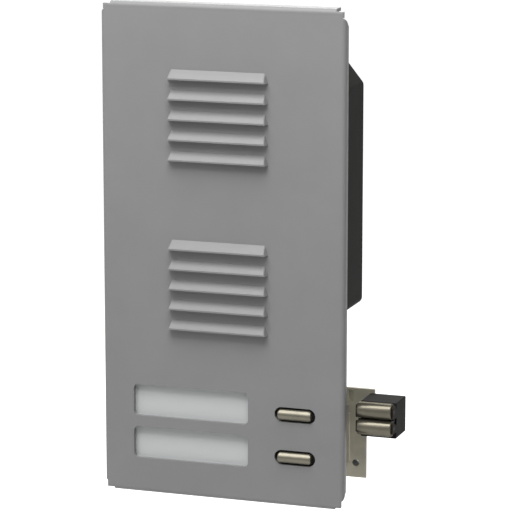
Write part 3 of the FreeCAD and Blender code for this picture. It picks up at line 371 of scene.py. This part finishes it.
def inside(name):
    """The middle of a CAD node's box, and its lowest and highest corners, in millimetres."""
    low, high = (np.array(corner) * 1000.0 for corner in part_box(name))
    return (low + high) / 2.0, low, high


def lumps(name):
    """The lowest and highest corners, in millimetres, of each solid in a CAD node. Every corner
    takes the lowest number among the corners of its faces until no number changes."""
    mesh = frame["nodes"][name].data
    points = np.empty(len(mesh.vertices) * 3)
    mesh.vertices.foreach_get("co", points)
    points = points.reshape(-1, 3) * MM
    mesh.calc_loop_triangles()
    corners = np.empty(len(mesh.loop_triangles) * 3, dtype=np.int64)
    mesh.loop_triangles.foreach_get("vertices", corners)
    microns = np.round(points * 1000.0)
    merged = np.unique(microns, axis=0, return_inverse=True)[1].reshape(-1)
    faces = merged[corners].reshape(-1, 3)
    label = np.arange(merged.max() + 1)
    changed = True
    while changed:
        before = label.copy()
        np.minimum.at(label, faces, label[faces].min(axis=1)[:, None])
        label = label[label]
        changed = not np.array_equal(before, label)
    owner = label[merged]
    return [(points[owner == own].min(axis=0), points[owner == own].max(axis=0))
            for own in np.unique(owner)]


def front_foot(low, high):
    """The middle of a box's front face, where a shape that runs along Y begins."""
    return (low[0] + high[0]) / 2.0, low[1], (low[2] + high[2]) / 2.0


def whole_turn(count):
    """Angles of one whole turn in equal steps, without the last, which is the first again."""
    return np.arange(count) * (2.0 * math.pi / count)


def rings(foot, axis, radius, reach, columns=48):
    """Rings about an axis: a point is the foot, plus the reach along the axis, plus the radius
    times the cosine and the sine of the column's angle along the two directions across."""
    first, second, along = (np.array(direction) for direction in AXES[axis])
    angle = whole_turn(columns)[None, :, None]
    radius, reach = (np.asarray(value, float) for value in (radius, reach))
    radius = radius.reshape(len(radius), -1, 1)
    reach = reach.reshape(len(reach), -1, 1)
    return np.array(foot) + radius * (np.cos(angle) * first + np.sin(angle) * second) \
        + reach * along


def turned(foot, axis, profile, columns=48):
    """A turned shape: a profile of (radius, reach) carried round an axis."""
    profile = np.array(profile, float)
    return rings(foot, axis, profile[:, 0], profile[:, 1], columns)


def thread_wave(reach, pitch, columns):
    """A thread's wave, from 0 to 1. The phase grows by one with each pitch along the axis and
    falls by one over each turn; the wave is the phase's distance from one half, made steeper and
    lowered, and cut flat at 0 and 1."""
    steepness, lowered = 2.6, 0.2
    phase = np.mod(reach / pitch - whole_turn(columns)[None, :] / (2.0 * math.pi), 1.0)
    return np.clip(np.abs(phase - 0.5) * steepness - lowered, 0.0, 1.0)


def threaded(foot, axis, length, radius, pitch, columns=24, steps=6, tip=0.45):
    """A screw thread. The radius falls below the crest by the wave times half a pitch; a cone at
    the tip and a point at each end close it."""
    rows = int(length / pitch * steps) + 1
    reach = np.linspace(0.0, length, rows)[:, None]
    cone = radius - tip + length - reach
    body = np.minimum(radius - 0.5 * pitch * thread_wave(reach, pitch, columns), cone)
    grid = rings(foot, axis, body, reach, columns)
    ends = rings(foot, axis, [0.0, 0.0], [0.0, length], columns)
    return np.concatenate([ends[:1], grid, ends[1:]])


def hexagon_nut(foot, axis, flats, height, bore, columns=48, mouth=0.3):
    """A hexagon nut. At each angle the radius is half the flats over the cosine of the angle from
    the middle of its flat, and beyond a circle just inside the flats both faces fall away by 30
    degrees, which leaves an arc on every flat."""
    from_flat = np.mod(whole_turn(columns), math.pi / 3.0) - math.pi / 6.0
    rim = flats / 2.0 / np.cos(from_flat)
    circle = 0.95 * flats / 2.0
    fall = np.maximum(rim - circle, 0.0) * math.tan(math.pi / 6.0)
    flat = np.ones(columns)
    radius = np.stack([
        bore * flat, bore * flat, (bore + mouth) * flat, circle * flat, rim, rim, circle * flat,
        (bore + mouth) * flat, bore * flat])
    reach = np.stack([
        mouth * flat, (height - mouth) * flat, height * flat, height * flat, height - fall, fall,
        0.0 * flat, 0.0 * flat, mouth * flat])
    return rings(foot, axis, radius, reach, columns)


def slotted_head(middle, radius, back, front, slot_depth, slot_width=0.6, edge=0.25):
    """A round head with a straight slot. Rows run across the slot and columns along it, from rim
    to rim over the top and back under the head; the top falls by 45 degrees near the rim and by
    the slot's depth between its walls. The head's top is at front, counted along Y."""
    beside, columns, lean = 12, 18, 1e-3
    upward = math.copysign(1.0, front - back)
    half = slot_width / 2.0
    outer = np.sin(np.linspace(0.0, math.pi / 2.0, beside)) * (radius - half) + half
    across = np.concatenate([-outer[::-1], [-half + lean, half - lean], outer])
    sunk = np.repeat([0.0, 1.0, 0.0], [beside, 2, beside])
    share = np.sin(np.linspace(-math.pi / 2.0, math.pi / 2.0, columns))
    reach = np.sqrt(np.maximum(radius**2 - across**2, 0.0))[:, None] * share[None, :]
    from_rim = radius - np.sqrt(np.minimum(across[:, None]**2 + reach**2, radius**2))
    top = front - upward * np.maximum(edge - from_rim, 0.0) - upward * slot_depth * sunk[:, None]
    bottom = np.full_like(reach, back)
    width = np.broadcast_to(across[:, None], reach.shape)
    upper = np.stack([middle[0] + reach, top, middle[1] + width], -1)
    lower = np.stack([middle[0] + reach, bottom, middle[1] + width], -1)
    return np.concatenate([upper, lower[:, ::-1]], axis=1)


def round_outline(width, height, corner, per_corner=7, per_side=8):
    """Points round a rectangle with round corners, as x and z about its middle: four quarter
    arcs, each followed by even steps along the side to the next arc."""
    half = np.array([width / 2.0, height / 2.0])
    corner = min(corner, half.min())
    turn = (np.linspace(0.0, math.pi / 2.0, per_corner)[None, :]
            + np.arange(4)[:, None] * math.pi / 2.0)
    signs = np.array([(1, 1), (-1, 1), (-1, -1), (1, -1)])
    arcs = ((half - corner) * signs)[:, None] + corner * np.stack([np.cos(turn), np.sin(turn)], -1)
    step = np.linspace(0.0, 1.0, per_side + 1)[1:-1][None, :, None]
    start, end = arcs[:, -1:], np.roll(arcs, -1, 0)[:, :1]
    return np.concatenate([arcs, start + (end - start) * step], axis=1).reshape(-1, 2)


def crowned_bar(middle, width, height, crown, proud, back, corner=1.3, edge=0.35):
    """A bar with round corners and a crowned front. Rings run from the back edge forwards and
    then inwards to the bar's middle line; the front's depth is the crown's arc over the height,
    less a quarter round at the edge."""
    least, first_step, edge_rows, crown_rows = 1e-4, 0.15, 6, 8
    rounded = edge * (1.0 - np.cos(np.linspace(first_step, 1.0, edge_rows) * math.pi / 2))
    crowned = np.linspace(edge, height / 2.0, crown_rows)[1:]
    rows = []
    for inset in np.concatenate([[0.0], rounded, crowned]):
        outline = round_outline(
            width - 2.0 * inset, max(height - 2.0 * inset, least), max(corner - inset, 0.0))
        arc = proud + crown * (1.0 - (outline[:, 1] / (height / 2.0))**2)
        rounding = edge - math.sqrt(max(edge**2 - max(edge - inset, 0.0)**2, 0.0))
        depth = FACE_Y - arc + rounding
        rows.append(np.stack([middle[0] + outline[:, 0], depth, middle[1] + outline[:, 1]], -1))
    rear = rows[0].copy()
    rear[:, 1] = FACE_Y + back
    hub = rear.copy()
    hub[:, 0] = middle[0]
    hub[:, 2] = middle[1]
    return np.stack([hub, rear] + rows)


def plate_rings(middle, width, height, corner, front, back, edge=0.15):
    """A flat plate with round corners: rings from the middle of one face over its edge to the
    middle of the other."""
    full = round_outline(width, height, corner)
    less = round_outline(width - 2 * edge, height - 2 * edge, corner - edge)
    hub = np.zeros_like(full)
    rows = []
    for outline, depth in ((hub, front), (less, front), (full, front + edge),
                           (full, back - edge), (less, back), (hub, back)):
        rows.append(np.stack([
            middle[0] + outline[:, 0], np.full(len(outline), FACE_Y + depth),
            middle[1] + outline[:, 1]], -1))
    return np.stack(rows)


def tube(path, core, radius, sides=12):
    """A round wire along a path. The first direction across leads away from the core line at each
    point, less its part along the wire, and the second is square to it; both ends are closed."""
    along = np.gradient(path, axis=0)
    along /= np.linalg.norm(along, axis=1)[:, None]
    out = path - core
    out -= (out * along).sum(axis=1)[:, None] * along
    out /= np.linalg.norm(out, axis=1)[:, None]
    side = np.cross(along, out)
    angle = whole_turn(sides)[None, :, None]
    skin = path[:, None] + radius * (np.cos(angle) * out[:, None] + np.sin(angle) * side[:, None])
    ends = np.repeat(path[[0, -1]][:, None], sides, axis=1)
    return np.concatenate([ends[:1], skin, ends[1:]])


def made(name, parts, body, sharp=35.0):
    """One piece from (surface, finish) pairs. A surface is rows of closed rings in millimetres,
    joined row to row by quads; corners that meet are merged and faces turned outwards."""
    points, faces, tints, finishes = [], [], [], []
    start = 0
    for surface, finish in parts:
        rows, columns = surface.shape[:2]
        index = start + np.arange(rows * columns).reshape(rows, columns)
        quads = np.stack([
            index[:-1], np.roll(index[:-1], -1, 1), np.roll(index[1:], -1, 1), index[1:]], -1)
        if finish not in finishes:
            finishes.append(finish)
        points.append(surface.reshape(-1, 3))
        faces.append(quads.reshape(-1, 4))
        tints.append(np.full(len(faces[-1]), finishes.index(finish)))
        start += rows * columns
    mesh = bpy.data.meshes.new(name)
    mesh.from_pydata(
        (np.concatenate(points) / MM).tolist(), [], np.concatenate(faces).tolist())
    mesh.polygons.foreach_set("material_index", np.concatenate(tints))
    for finish in finishes:
        mesh.materials.append(finish)
    work = bmesh.new()
    work.from_mesh(mesh)
    bmesh.ops.remove_doubles(work, verts=work.verts, dist=MERGED)
    bmesh.ops.dissolve_degenerate(work, edges=work.edges, dist=DISSOLVED)
    bmesh.ops.recalc_face_normals(work, faces=work.faces)
    work.to_mesh(mesh)
    work.free()
    mesh.shade_smooth()
    mesh.set_sharp_from_angle(angle=math.radians(sharp))
    piece = bpy.data.objects.new(name, mesh)
    bpy.context.collection.objects.link(piece)
    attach(piece, body)
    return piece


def dress(material, *names):
    """Gives CAD nodes a finish through their objects' material slots."""
    for name in names:
        piece = frame["nodes"][name]
        if not piece.material_slots:
            raise RuntimeError(name + " has no material slot")
        for slot in piece.material_slots:
            slot.link = "OBJECT"
            slot.material = material


class STATION_OT_stage(bpy.types.Operator):
    """Makes the floor, the world, the lamps and the camera"""

    bl_idname = "station.stage"
    bl_label = "Stage"

    def execute(self, context):
        stage = context.scene.station_stage
        make_world(context, stage)
        make_floor(context, stage)
        make_lamps(context, stage)
        make_camera(context, stage)
        return {"FINISHED"}


def seen_as_background(tree):
    """One for camera, glossy and transmission rays, and nothing for the rest."""
    rays = add_node(tree, "ShaderNodeLightPath")
    return greatest(tree, [
        rays.outputs[name] for name in ("Is Camera Ray", "Is Glossy Ray", "Is Transmission Ray")])


def make_world(context, stage):
    """White where it is seen, and a low even light elsewhere."""
    world = bpy.data.worlds.new("studio")
    context.scene.world = world
    world.use_nodes = True
    tree = world.node_tree
    tree.nodes.clear()
    strength = add_node(
        tree, "ShaderNodeMapRange", {"To Min": stage.ambient, "To Max": 1.0})
    tree.links.new(seen_as_background(tree), strength.inputs["Value"])
    background = add_node(tree, "ShaderNodeBackground", {"Color": (1.0, 1.0, 1.0, 1.0)})
    tree.links.new(strength.outputs["Result"], background.inputs["Strength"])
    output = add_node(tree, "ShaderNodeOutputWorld")
    tree.links.new(background.outputs[0], output.inputs[0])


def make_floor(context, stage):
    """A wide pale floor below the object, white where it is seen outside the shadow."""
    half, pale, glow_strength = 6.0, 0.82, 0.85
    level = -stage.floor_drop
    corners = [(-half, -half, level), (half, -half, level), (half, half, level),
               (-half, half, level)]
    mesh = bpy.data.meshes.new("floor")
    mesh.from_pydata(corners, [], [(0, 1, 2, 3)])
    floor = bpy.data.objects.new("floor", mesh)
    context.collection.objects.link(floor)
    material = bpy.data.materials.new("pale_floor")
    material.use_nodes = True
    tree = material.node_tree
    tree.nodes.clear()
    matt = add_node(tree, "ShaderNodeBsdfDiffuse", {"Color": (pale, pale, pale, 1.0)})
    glow = add_node(tree, "ShaderNodeEmission", {"Color": (1.0, 1.0, 1.0, 1.0)})
    total = add_node(tree, "ShaderNodeAddShader")
    output = add_node(tree, "ShaderNodeOutputMaterial")
    share = add_node(tree, "ShaderNodeMath", {1: glow_strength}, operation="MULTIPLY")
    tree.links.new(seen_as_background(tree), share.inputs[0])
    tree.links.new(share.outputs[0], glow.inputs["Strength"])
    tree.links.new(matt.outputs[0], total.inputs[0])
    tree.links.new(glow.outputs[0], total.inputs[1])
    tree.links.new(total.outputs[0], output.inputs[0])
    mesh.materials.append(material)


def stand(context, name, data, azimuth, elevation, distance, aim):
    """A lamp or camera that looks at its aim from a direction: the azimuth is counted to the
    right of the front and the elevation from level, both in radians."""
    back = Vector((math.sin(azimuth) * math.cos(elevation),
                   -math.cos(azimuth) * math.cos(elevation), math.sin(elevation)))
    item = bpy.data.objects.new(name, data)
    context.collection.objects.link(item)
    item.location = Vector(aim) + back * distance
    item.rotation_euler = back.to_track_quat("Z", "Y").to_euler()
    return item


def make_lamps(context, stage):
    """Three rectangular lamps: above the front, in front, and behind the left side."""
    powers = {"key": stage.key_power, "fill": stage.fill_power, "back": stage.back_power}
    for name, (azimuth, elevation, distance, size, aim) in LAMPS.items():
        data = bpy.data.lights.new(name, "AREA")
        data.shape = "RECTANGLE"
        data.size, data.size_y = size
        data.energy = powers[name]
        stand(context, name, data, math.radians(azimuth), math.radians(elevation), distance, aim)


def make_camera(context, stage):
    """A long lens at the photograph's height and side, with no shift."""
    data = bpy.data.cameras.new("camera")
    data.lens = stage.lens
    data.sensor_width = 36.0
    data.sensor_fit = "HORIZONTAL"
    data.clip_start = 0.05
    data.clip_end = 50.0
    context.scene.camera = stand(
        context, "camera", data, stage.azimuth, stage.elevation, stage.distance, stage.target)
    context.scene.view_settings.view_transform = "Standard"


class STATION_OT_front(bpy.types.Operator):
    """Powder coats the folded front and finishes the gauze behind its louvres"""

    bl_idname = "station.front"
    bl_label = "Front"

    def execute(self, context):
        colours = context.scene.station_colours
        dress(powder_coat("grey_powder_coat", colours.coat), "front_panel")
        dress(woven("black_gauze", (0.02, 0.02, 0.02), thread_mm=0.35), "acoustic_mesh")
        return {"FINISHED"}


class STATION_OT_fasteners(bpy.types.Operator):
    """Threads the welded studs, makes their nuts and the press nut behind the bracket's hole"""

    bl_idname = "station.fasteners"
    bl_label = "Fasteners"

    def execute(self, context):
        sizes = context.scene.station_sizes
        pitch = sizes.thread_pitch * MM
        copper = plated("coppered_stud", (0.50, 0.30, 0.19), roughness=0.34)
        bright = plated("bright_zinc", (0.34, 0.345, 0.35), roughness=0.3, edge=0.5)
        studs = [
            (threaded(front_foot(low, high), "Y", high[1] - low[1], M3_RADIUS, pitch), copper)
            for low, high in lumps("weld_studs")]
        nuts = [
            (hexagon_nut(front_foot(low, high), "Y", sizes.nut_flats * MM, high[1] - low[1],
                         M3_RADIUS), bright)
            for low, high in lumps("stud_nuts")]
        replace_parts(made("threaded_studs", studs, "panel_unit"), "weld_studs")
        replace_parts(made("hexagon_nuts", nuts, "panel_unit"), "stud_nuts")
        self.press_nut(pitch, bright)
        dress(bright, "baffle_screws", "board_screws")
        return {"FINISHED"}

    def press_nut(self, pitch, finish):
        """A round nut pressed in behind the fixing hole. The bore's radius is that of its crests
        plus the thread's wave times its depth, and the profile runs on over the rear face, the
        wall and the front face, back to the bore."""
        hole = next(
            mount for mount in frame["record"]["mounts"] if mount["name"] == "bracket_hole")
        middle = np.array(hole["pos_m"]) * MM
        bracket_back = FACE_Y + 31.5
        length, outer, bevel, rear_mouth, front_mouth = 5.5, 2.8, 0.2, 1.65, 1.6
        crest, thread_depth, lead, rows, columns = 1.3, 0.2, 0.3, 60, 36
        reach = np.linspace(lead, length - lead, rows)[:, None]
        bore = crest + thread_depth * thread_wave(reach, pitch, columns)
        flat = np.ones((1, columns))
        radius = np.concatenate([
            bore, rear_mouth * flat, (outer - bevel) * flat, outer * flat, outer * flat,
            front_mouth * flat, bore[:1]])
        depth = np.concatenate([
            reach * flat, length * flat, length * flat, (length - bevel) * flat, 0.0 * flat,
            0.0 * flat, reach[:1] * flat])
        surface = rings((middle[0], bracket_back, middle[2]), "Y", radius, depth, columns)
        made("press_nut", [(surface, finish)], "panel_unit")


class STATION_OT_speech_unit(bpy.types.Operator):
    """Finishes the speech unit's housing and what is in it"""

    bl_idname = "station.speech_unit"
    bl_label = "Speech unit"

    def execute(self, context):
        colours = context.scene.station_colours
        dress(moulding("matt_black", colours.black, roughness=0.5, gloss=0.012),
              "speech_housing", "baffle")
        dress(foam("grey_foam", (0.06, 0.06, 0.065)), "housing_gasket")
        dress(plated("pressed_steel", (0.5, 0.5, 0.52), roughness=0.4),
              "speaker_basket", "speaker_clamps")
        dress(paper("black_cone_paper", (0.03, 0.03, 0.032)), "speaker_cone")
        dress(moulding("sintered_ferrite", (0.03, 0.03, 0.035), roughness=0.6, texture=0.02),
              "speaker_magnet")
        dress(moulding("soft_rubber", (0.02, 0.02, 0.02), roughness=0.7, texture=0.01),
              "microphone_boot")
        dress(plated("drawn_can", (0.7, 0.7, 0.72), roughness=0.25), "microphone_capsule")
        return {"FINISHED"}


class STATION_OT_boards(bpy.types.Operator):
    """Finishes the circuit boards and what is on them, with clamping screws and solder joints"""

    bl_idname = "station.boards"
    bl_label = "Boards"

    def execute(self, context):
        colours = context.scene.station_colours
        bright = bpy.data.materials["bright_zinc"]
        dress(lacquered_board("green_lacquer", colours.board),
              "speech_board", "lamp_board", "contact_board")
        dress(moulding("shrunk_sleeve", (0.02, 0.03, 0.07), roughness=0.3, texture=0.002),
              "board_capacitors")
        dress(moulding("chip_epoxy", (0.015, 0.015, 0.016), roughness=0.5), "board_chips")
        dress(moulding("green_polyamide", (0.02, 0.16, 0.06), roughness=0.38),
              "terminal_block", "push_terminals")
        dress(moulding("blue_moulding", (0.02, 0.07, 0.22), roughness=0.38),
              "volume_trimmer_body", "microphone_trimmer_body")
        dress(moulding("white_moulding", (0.62, 0.62, 0.6), roughness=0.4),
              "volume_trimmer_rotor", "microphone_trimmer_rotor")
        dress(moulding("lamp_body", (0.75, 0.74, 0.68), roughness=0.3, texture=0.002), "lamps")
        heads = []
        for low, high in lumps("terminal_screws"):
            middle = (low + high) / 2.0
            heads.append((slotted_head(
                (middle[0], middle[2]), (high[0] - low[0]) / 2.0, low[1], high[1],
                slot_depth=0.8), bright))
        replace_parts(made("clamping_screws", heads, "panel_unit"), "terminal_screws")
        self.solder_joints()
        return {"FINISHED"}

    def solder_joints(self):
        """A cone of solder where each contact comes through the contact board: the radius falls
        with the square of the reach towards the cut end of the wire."""
        neck, spread, cut_radius, cut_reach = 0.35, 0.75, 0.3, 1.1
        tin = plated("tin_solder", (0.42, 0.42, 0.43), roughness=0.3)
        back = inside("contact_board")[2][1]
        share = np.linspace(0.0, 1.0, 7)
        radius = np.concatenate([[0.0], neck + spread * (1.0 - share)**2, [cut_radius, 0.0]])
        reach = np.concatenate([[0.0], share, [cut_reach, cut_reach]])
        joints = []
        for low, high in lumps("fixed_contacts"):
            middle = (low + high) / 2.0
            surface = rings((middle[0], back, middle[2]), "Y", radius, reach, columns=20)
            joints.append((surface, tin))
        made("solder_joints", joints, "panel_unit")


class STATION_OT_name_windows(bpy.types.Operator):
    """Finishes the name unit: moulding, panes, cards and diffusers"""

    bl_idname = "station.name_windows"
    bl_label = "Name windows"

    def execute(self, context):
        colours = context.scene.station_colours
        dress(moulding("pale_moulding", colours.light, roughness=0.4), "name_carrier")
        pane = frosted_pane("milky_pane", colours.card)
        card = paper("name_card", colours.card)
        opal = moulding("opal_diffuser", (0.8, 0.81, 0.82), roughness=0.35, texture=0.002)
        for level in LEVELS:
            dress(pane, "name_window_" + level)
            dress(card, "name_card_" + level)
            dress(opal, "light_diffuser_" + level)
        return {"FINISHED"}


class STATION_OT_bell_pushes(bpy.types.Operator):
    """Makes the bell pushes and their springs, and finishes housing and contacts"""

    bl_idname = "station.bell_pushes"
    bl_label = "Bell pushes"

    def execute(self, context):
        colours = context.scene.station_colours
        black = bpy.data.materials["matt_black"]
        dress(black, "push_housing")
        nickel = plated(
            "brushed_nickel", colours.nickel, roughness=0.26, brush=(0.05, 1.0, 1.0), waves=3.0,
            depth=0.0005, metallic=0.6, streaks=0.02)
        brass = plated("plain_brass", (0.50, 0.34, 0.12), roughness=0.3)
        steel = plated("drawn_wire", (0.30, 0.30, 0.31), roughness=0.3)
        for level in LEVELS:
            self.push(context.scene.station_sizes, level, nickel, black)
            self.push_spring(level, steel)
            dress(brass, "contact_bridge_" + level)
        dress(brass, "fixed_contacts")
        return {"FINISHED"}

    def push(self, sizes, level, nickel, black):
        """A crowned bar before the front, a flat collar behind the slot, and a stem turned from
        a profile that is bevelled at its rear end."""
        collar_front, collar_back, stem_radius, bevel = 1.6, 3.0, 1.5, 0.3
        middle, low, high = inside("bell_push_" + level)
        place = (middle[0], middle[2])
        bar = crowned_bar(
            place, sizes.bar_width * MM, sizes.bar_height * MM, sizes.bar_crown * MM,
            proud=0.3, back=1.7)
        collar = plate_rings(
            place, high[0] - low[0], high[2] - low[2], (high[2] - low[2]) / 2.0,
            collar_front, collar_back)
        length = high[1] - FACE_Y - collar_back
        stem = turned((middle[0], FACE_Y + collar_back, middle[2]), "Y", (
            (0.0, 0.0), (stem_radius, 0.0), (stem_radius, length - bevel),
            (stem_radius - bevel, length), (0.0, length)))
        push = made("push_" + level, [(bar, nickel), (collar, black), (stem, black)],
                    level + "_push")
        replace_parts(push, "bell_push_" + level)

    def push_spring(self, level, steel):
        """A round wire on a helix: the angle grows evenly with the reach along the stem."""
        wire, turns, per_turn = 0.225, 4, 28
        middle = inside("bell_push_" + level)[0]
        low, high = inside("push_spring_" + level)[1:]
        share = np.linspace(0.0, 1.0, turns * per_turn + 1)
        angle = share * turns * 2.0 * math.pi
        radius = (high[0] - low[0]) / 2.0 - wire
        y = low[1] + wire + share * (high[1] - low[1] - 2.0 * wire)
        path = np.stack([
            middle[0] + radius * np.cos(angle), y, middle[2] + radius * np.sin(angle)], -1)
        core = np.stack([np.full_like(y, middle[0]), y, np.full_like(y, middle[2])], -1)
        spring = made("push_coil_" + level, [(tube(path, core, wire), steel)],
                      "panel_unit", sharp=60.0)
        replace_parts(spring, "push_spring_" + level)
        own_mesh(spring)


class STATION_OT_roller_catch(bpy.types.Operator):
    """Makes rollers, screws and springs of the catch, and finishes bracket, block and arms"""

    bl_idname = "station.roller_catch"
    bl_label = "Roller catch"

    def execute(self, context):
        colours = context.scene.station_colours
        steel = bpy.data.materials["drawn_wire"]
        dress(plated(
            "passivated_zinc", colours.zinc, roughness=0.45, brush=(1.0, 1.0, 0.2), waves=2.0,
            depth=0.002, metallic=0.3, edge=0.35, gloss=0.05), "catch_bracket")
        dress(bpy.data.materials["matt_black"], "catch_body")
        polished = plated(
            "turned_nickel", shade(colours.nickel, 0.85), roughness=0.22, brush=(1.0, 0.05, 0.05),
            waves=2.0, depth=0.0003, metallic=0.6, streaks=0.015, edge=0.2, gloss=0.1)
        dark = plated(
            "phosphated_steel", (0.03, 0.025, 0.021), roughness=0.5, metallic=0.1, edge=0.15,
            gloss=0.012)
        for side, level in zip((1.0, -1.0), LEVELS):
            self.roller(context.scene.station_sizes.roller_radius * MM, level, polished)
            dress(dark, "roller_arm_" + level)
            dress(polished, "roller_axle_" + level)
            dress(steel, "arm_pin_" + level)
            self.arm_spring(level, side, steel)
        self.screws()
        return {"FINISHED"}

    def roller(self, outer, level, finish):
        """A roller turned from its profile: a quarter round at each rim, where the radius and the
        reach follow the sine and the cosine of the bend, and a bore that widens at both ends."""
        rim, bore, mouth = 0.4, 0.85, 0.15
        middle, low, high = inside("catch_roller_" + level)
        length = high[0] - low[0]
        bend = np.linspace(0.0, math.pi / 2.0, 5)
        profile = np.concatenate([
            np.stack([outer - rim + rim * np.sin(bend), rim - rim * np.cos(bend)], -1),
            np.stack([outer - rim + rim * np.cos(bend), length - rim + rim * np.sin(bend)], -1),
            [(bore + mouth, length), (bore, length - mouth), (bore, mouth), (bore + mouth, 0.0),
             (outer - rim, 0.0)]])
        surface = turned((low[0], middle[1], middle[2]), "X", profile, columns=96)
        roller = made("roller_" + level, [(surface, finish)], level + "_roller")
        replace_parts(roller, "catch_roller_" + level)

    def arm_spring(self, level, side, steel):
        """A torsion spring: a helix about the pivot pin with straight ends that leave it along
        its tangents. In the coil's own frame s runs along the pin, and p and q across it."""
        radius, wire, pitch, turns, per_turn = 1.3, 0.25, 0.9, 5, 26
        tail, tail_rows, lead, lead_rows = 2.1, 7, 4.6, 12
        pin = inside("arm_pin_" + level)[0]
        share = np.linspace(0.0, 1.0, turns * per_turn + 1)
        angle = share * turns * 2.0 * math.pi
        first = np.linspace(-tail, 0.0, tail_rows)[:-1]
        last = np.linspace(0.0, lead, lead_rows)[1:]
        p = np.concatenate([np.full(len(first), radius), radius * np.cos(angle),
                            np.full(len(last), radius)])
        q = np.concatenate([first, radius * np.sin(angle), last])
        s = np.concatenate([np.zeros(len(first)), share * turns * pitch,
                            np.full(len(last), turns * pitch)])
        middle = pin + np.array([side * turns * pitch / 2.0, 0.0, 0.0])
        path = middle + np.stack([-side * s, -q, -side * p], -1)
        core = middle + np.stack([-side * s, 0.0 * s, 0.0 * s], -1)
        spring = made("arm_coil_" + level, [(tube(path, core, wire), steel)],
                      "panel_unit", sharp=60.0)
        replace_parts(spring, "arm_spring_" + level)

    def screws(self):
        """Two slotted screws from the back, each a head on a plain shank turned from a profile
        that narrows at its tip."""
        head_height, shank_radius, tip_radius, tip = 1.6, 1.25, 1.0, 0.3
        zinc = bpy.data.materials["bright_zinc"]
        parts = []
        for low, high in lumps("catch_screws"):
            foot = front_foot(low, high)
            head = slotted_head(
                (foot[0], foot[2]), (high[0] - low[0]) / 2.0, high[1] - head_height, high[1],
                slot_depth=0.5)
            length = high[1] - head_height - low[1]
            shank = turned(foot, "Y", (
                (0.0, 0.0), (tip_radius, 0.0), (shank_radius, tip), (shank_radius, length),
                (0.0, length)), columns=32)
            parts += [(head, zinc), (shank, zinc)]
        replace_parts(made("catch_fixings", parts, "panel_unit"), "catch_screws")


MAKERS = (
    STATION_OT_stage, STATION_OT_front, STATION_OT_fasteners, STATION_OT_speech_unit,
    STATION_OT_boards, STATION_OT_name_windows, STATION_OT_bell_pushes, STATION_OT_roller_catch,
)


class STATION_PT_sidebar(bpy.types.Panel):
    """Shows the door station's settings and its steps"""

    bl_idname = "STATION_PT_sidebar"
    bl_label = "Door station"
    bl_space_type = "VIEW_3D"
    bl_region_type = "UI"
    bl_category = "Door station"

    def draw(self, context):
        scene = context.scene
        for group in (scene.station_stage, scene.station_colours, scene.station_sizes):
            box = self.layout.box()
            for name in group.bl_rna.properties.keys():
                if name not in ("rna_type", "name"):
                    box.prop(group, name)
        for maker in MAKERS:
            self.layout.operator(maker.bl_idname)


CLASSES = (StationStage, StationColours, StationSizes) + MAKERS + (STATION_PT_sidebar,)


def register():
    for item in CLASSES:
        bpy.utils.register_class(item)
    bpy.types.Scene.station_stage = PointerProperty(type=StationStage)
    bpy.types.Scene.station_colours = PointerProperty(type=StationColours)
    bpy.types.Scene.station_sizes = PointerProperty(type=StationSizes)


def unregister():
    del bpy.types.Scene.station_sizes
    del bpy.types.Scene.station_colours
    del bpy.types.Scene.station_stage
    for item in reversed(CLASSES):
        bpy.utils.unregister_class(item)


def main():
    """Makes every piece in order."""
    register()
    bpy.ops.station.stage()
    bpy.ops.station.front()
    bpy.ops.station.fasteners()
    bpy.ops.station.speech_unit()
    bpy.ops.station.boards()
    bpy.ops.station.name_windows()
    bpy.ops.station.bell_pushes()
    bpy.ops.station.roller_catch()


if __name__ == "__main__":
    main()
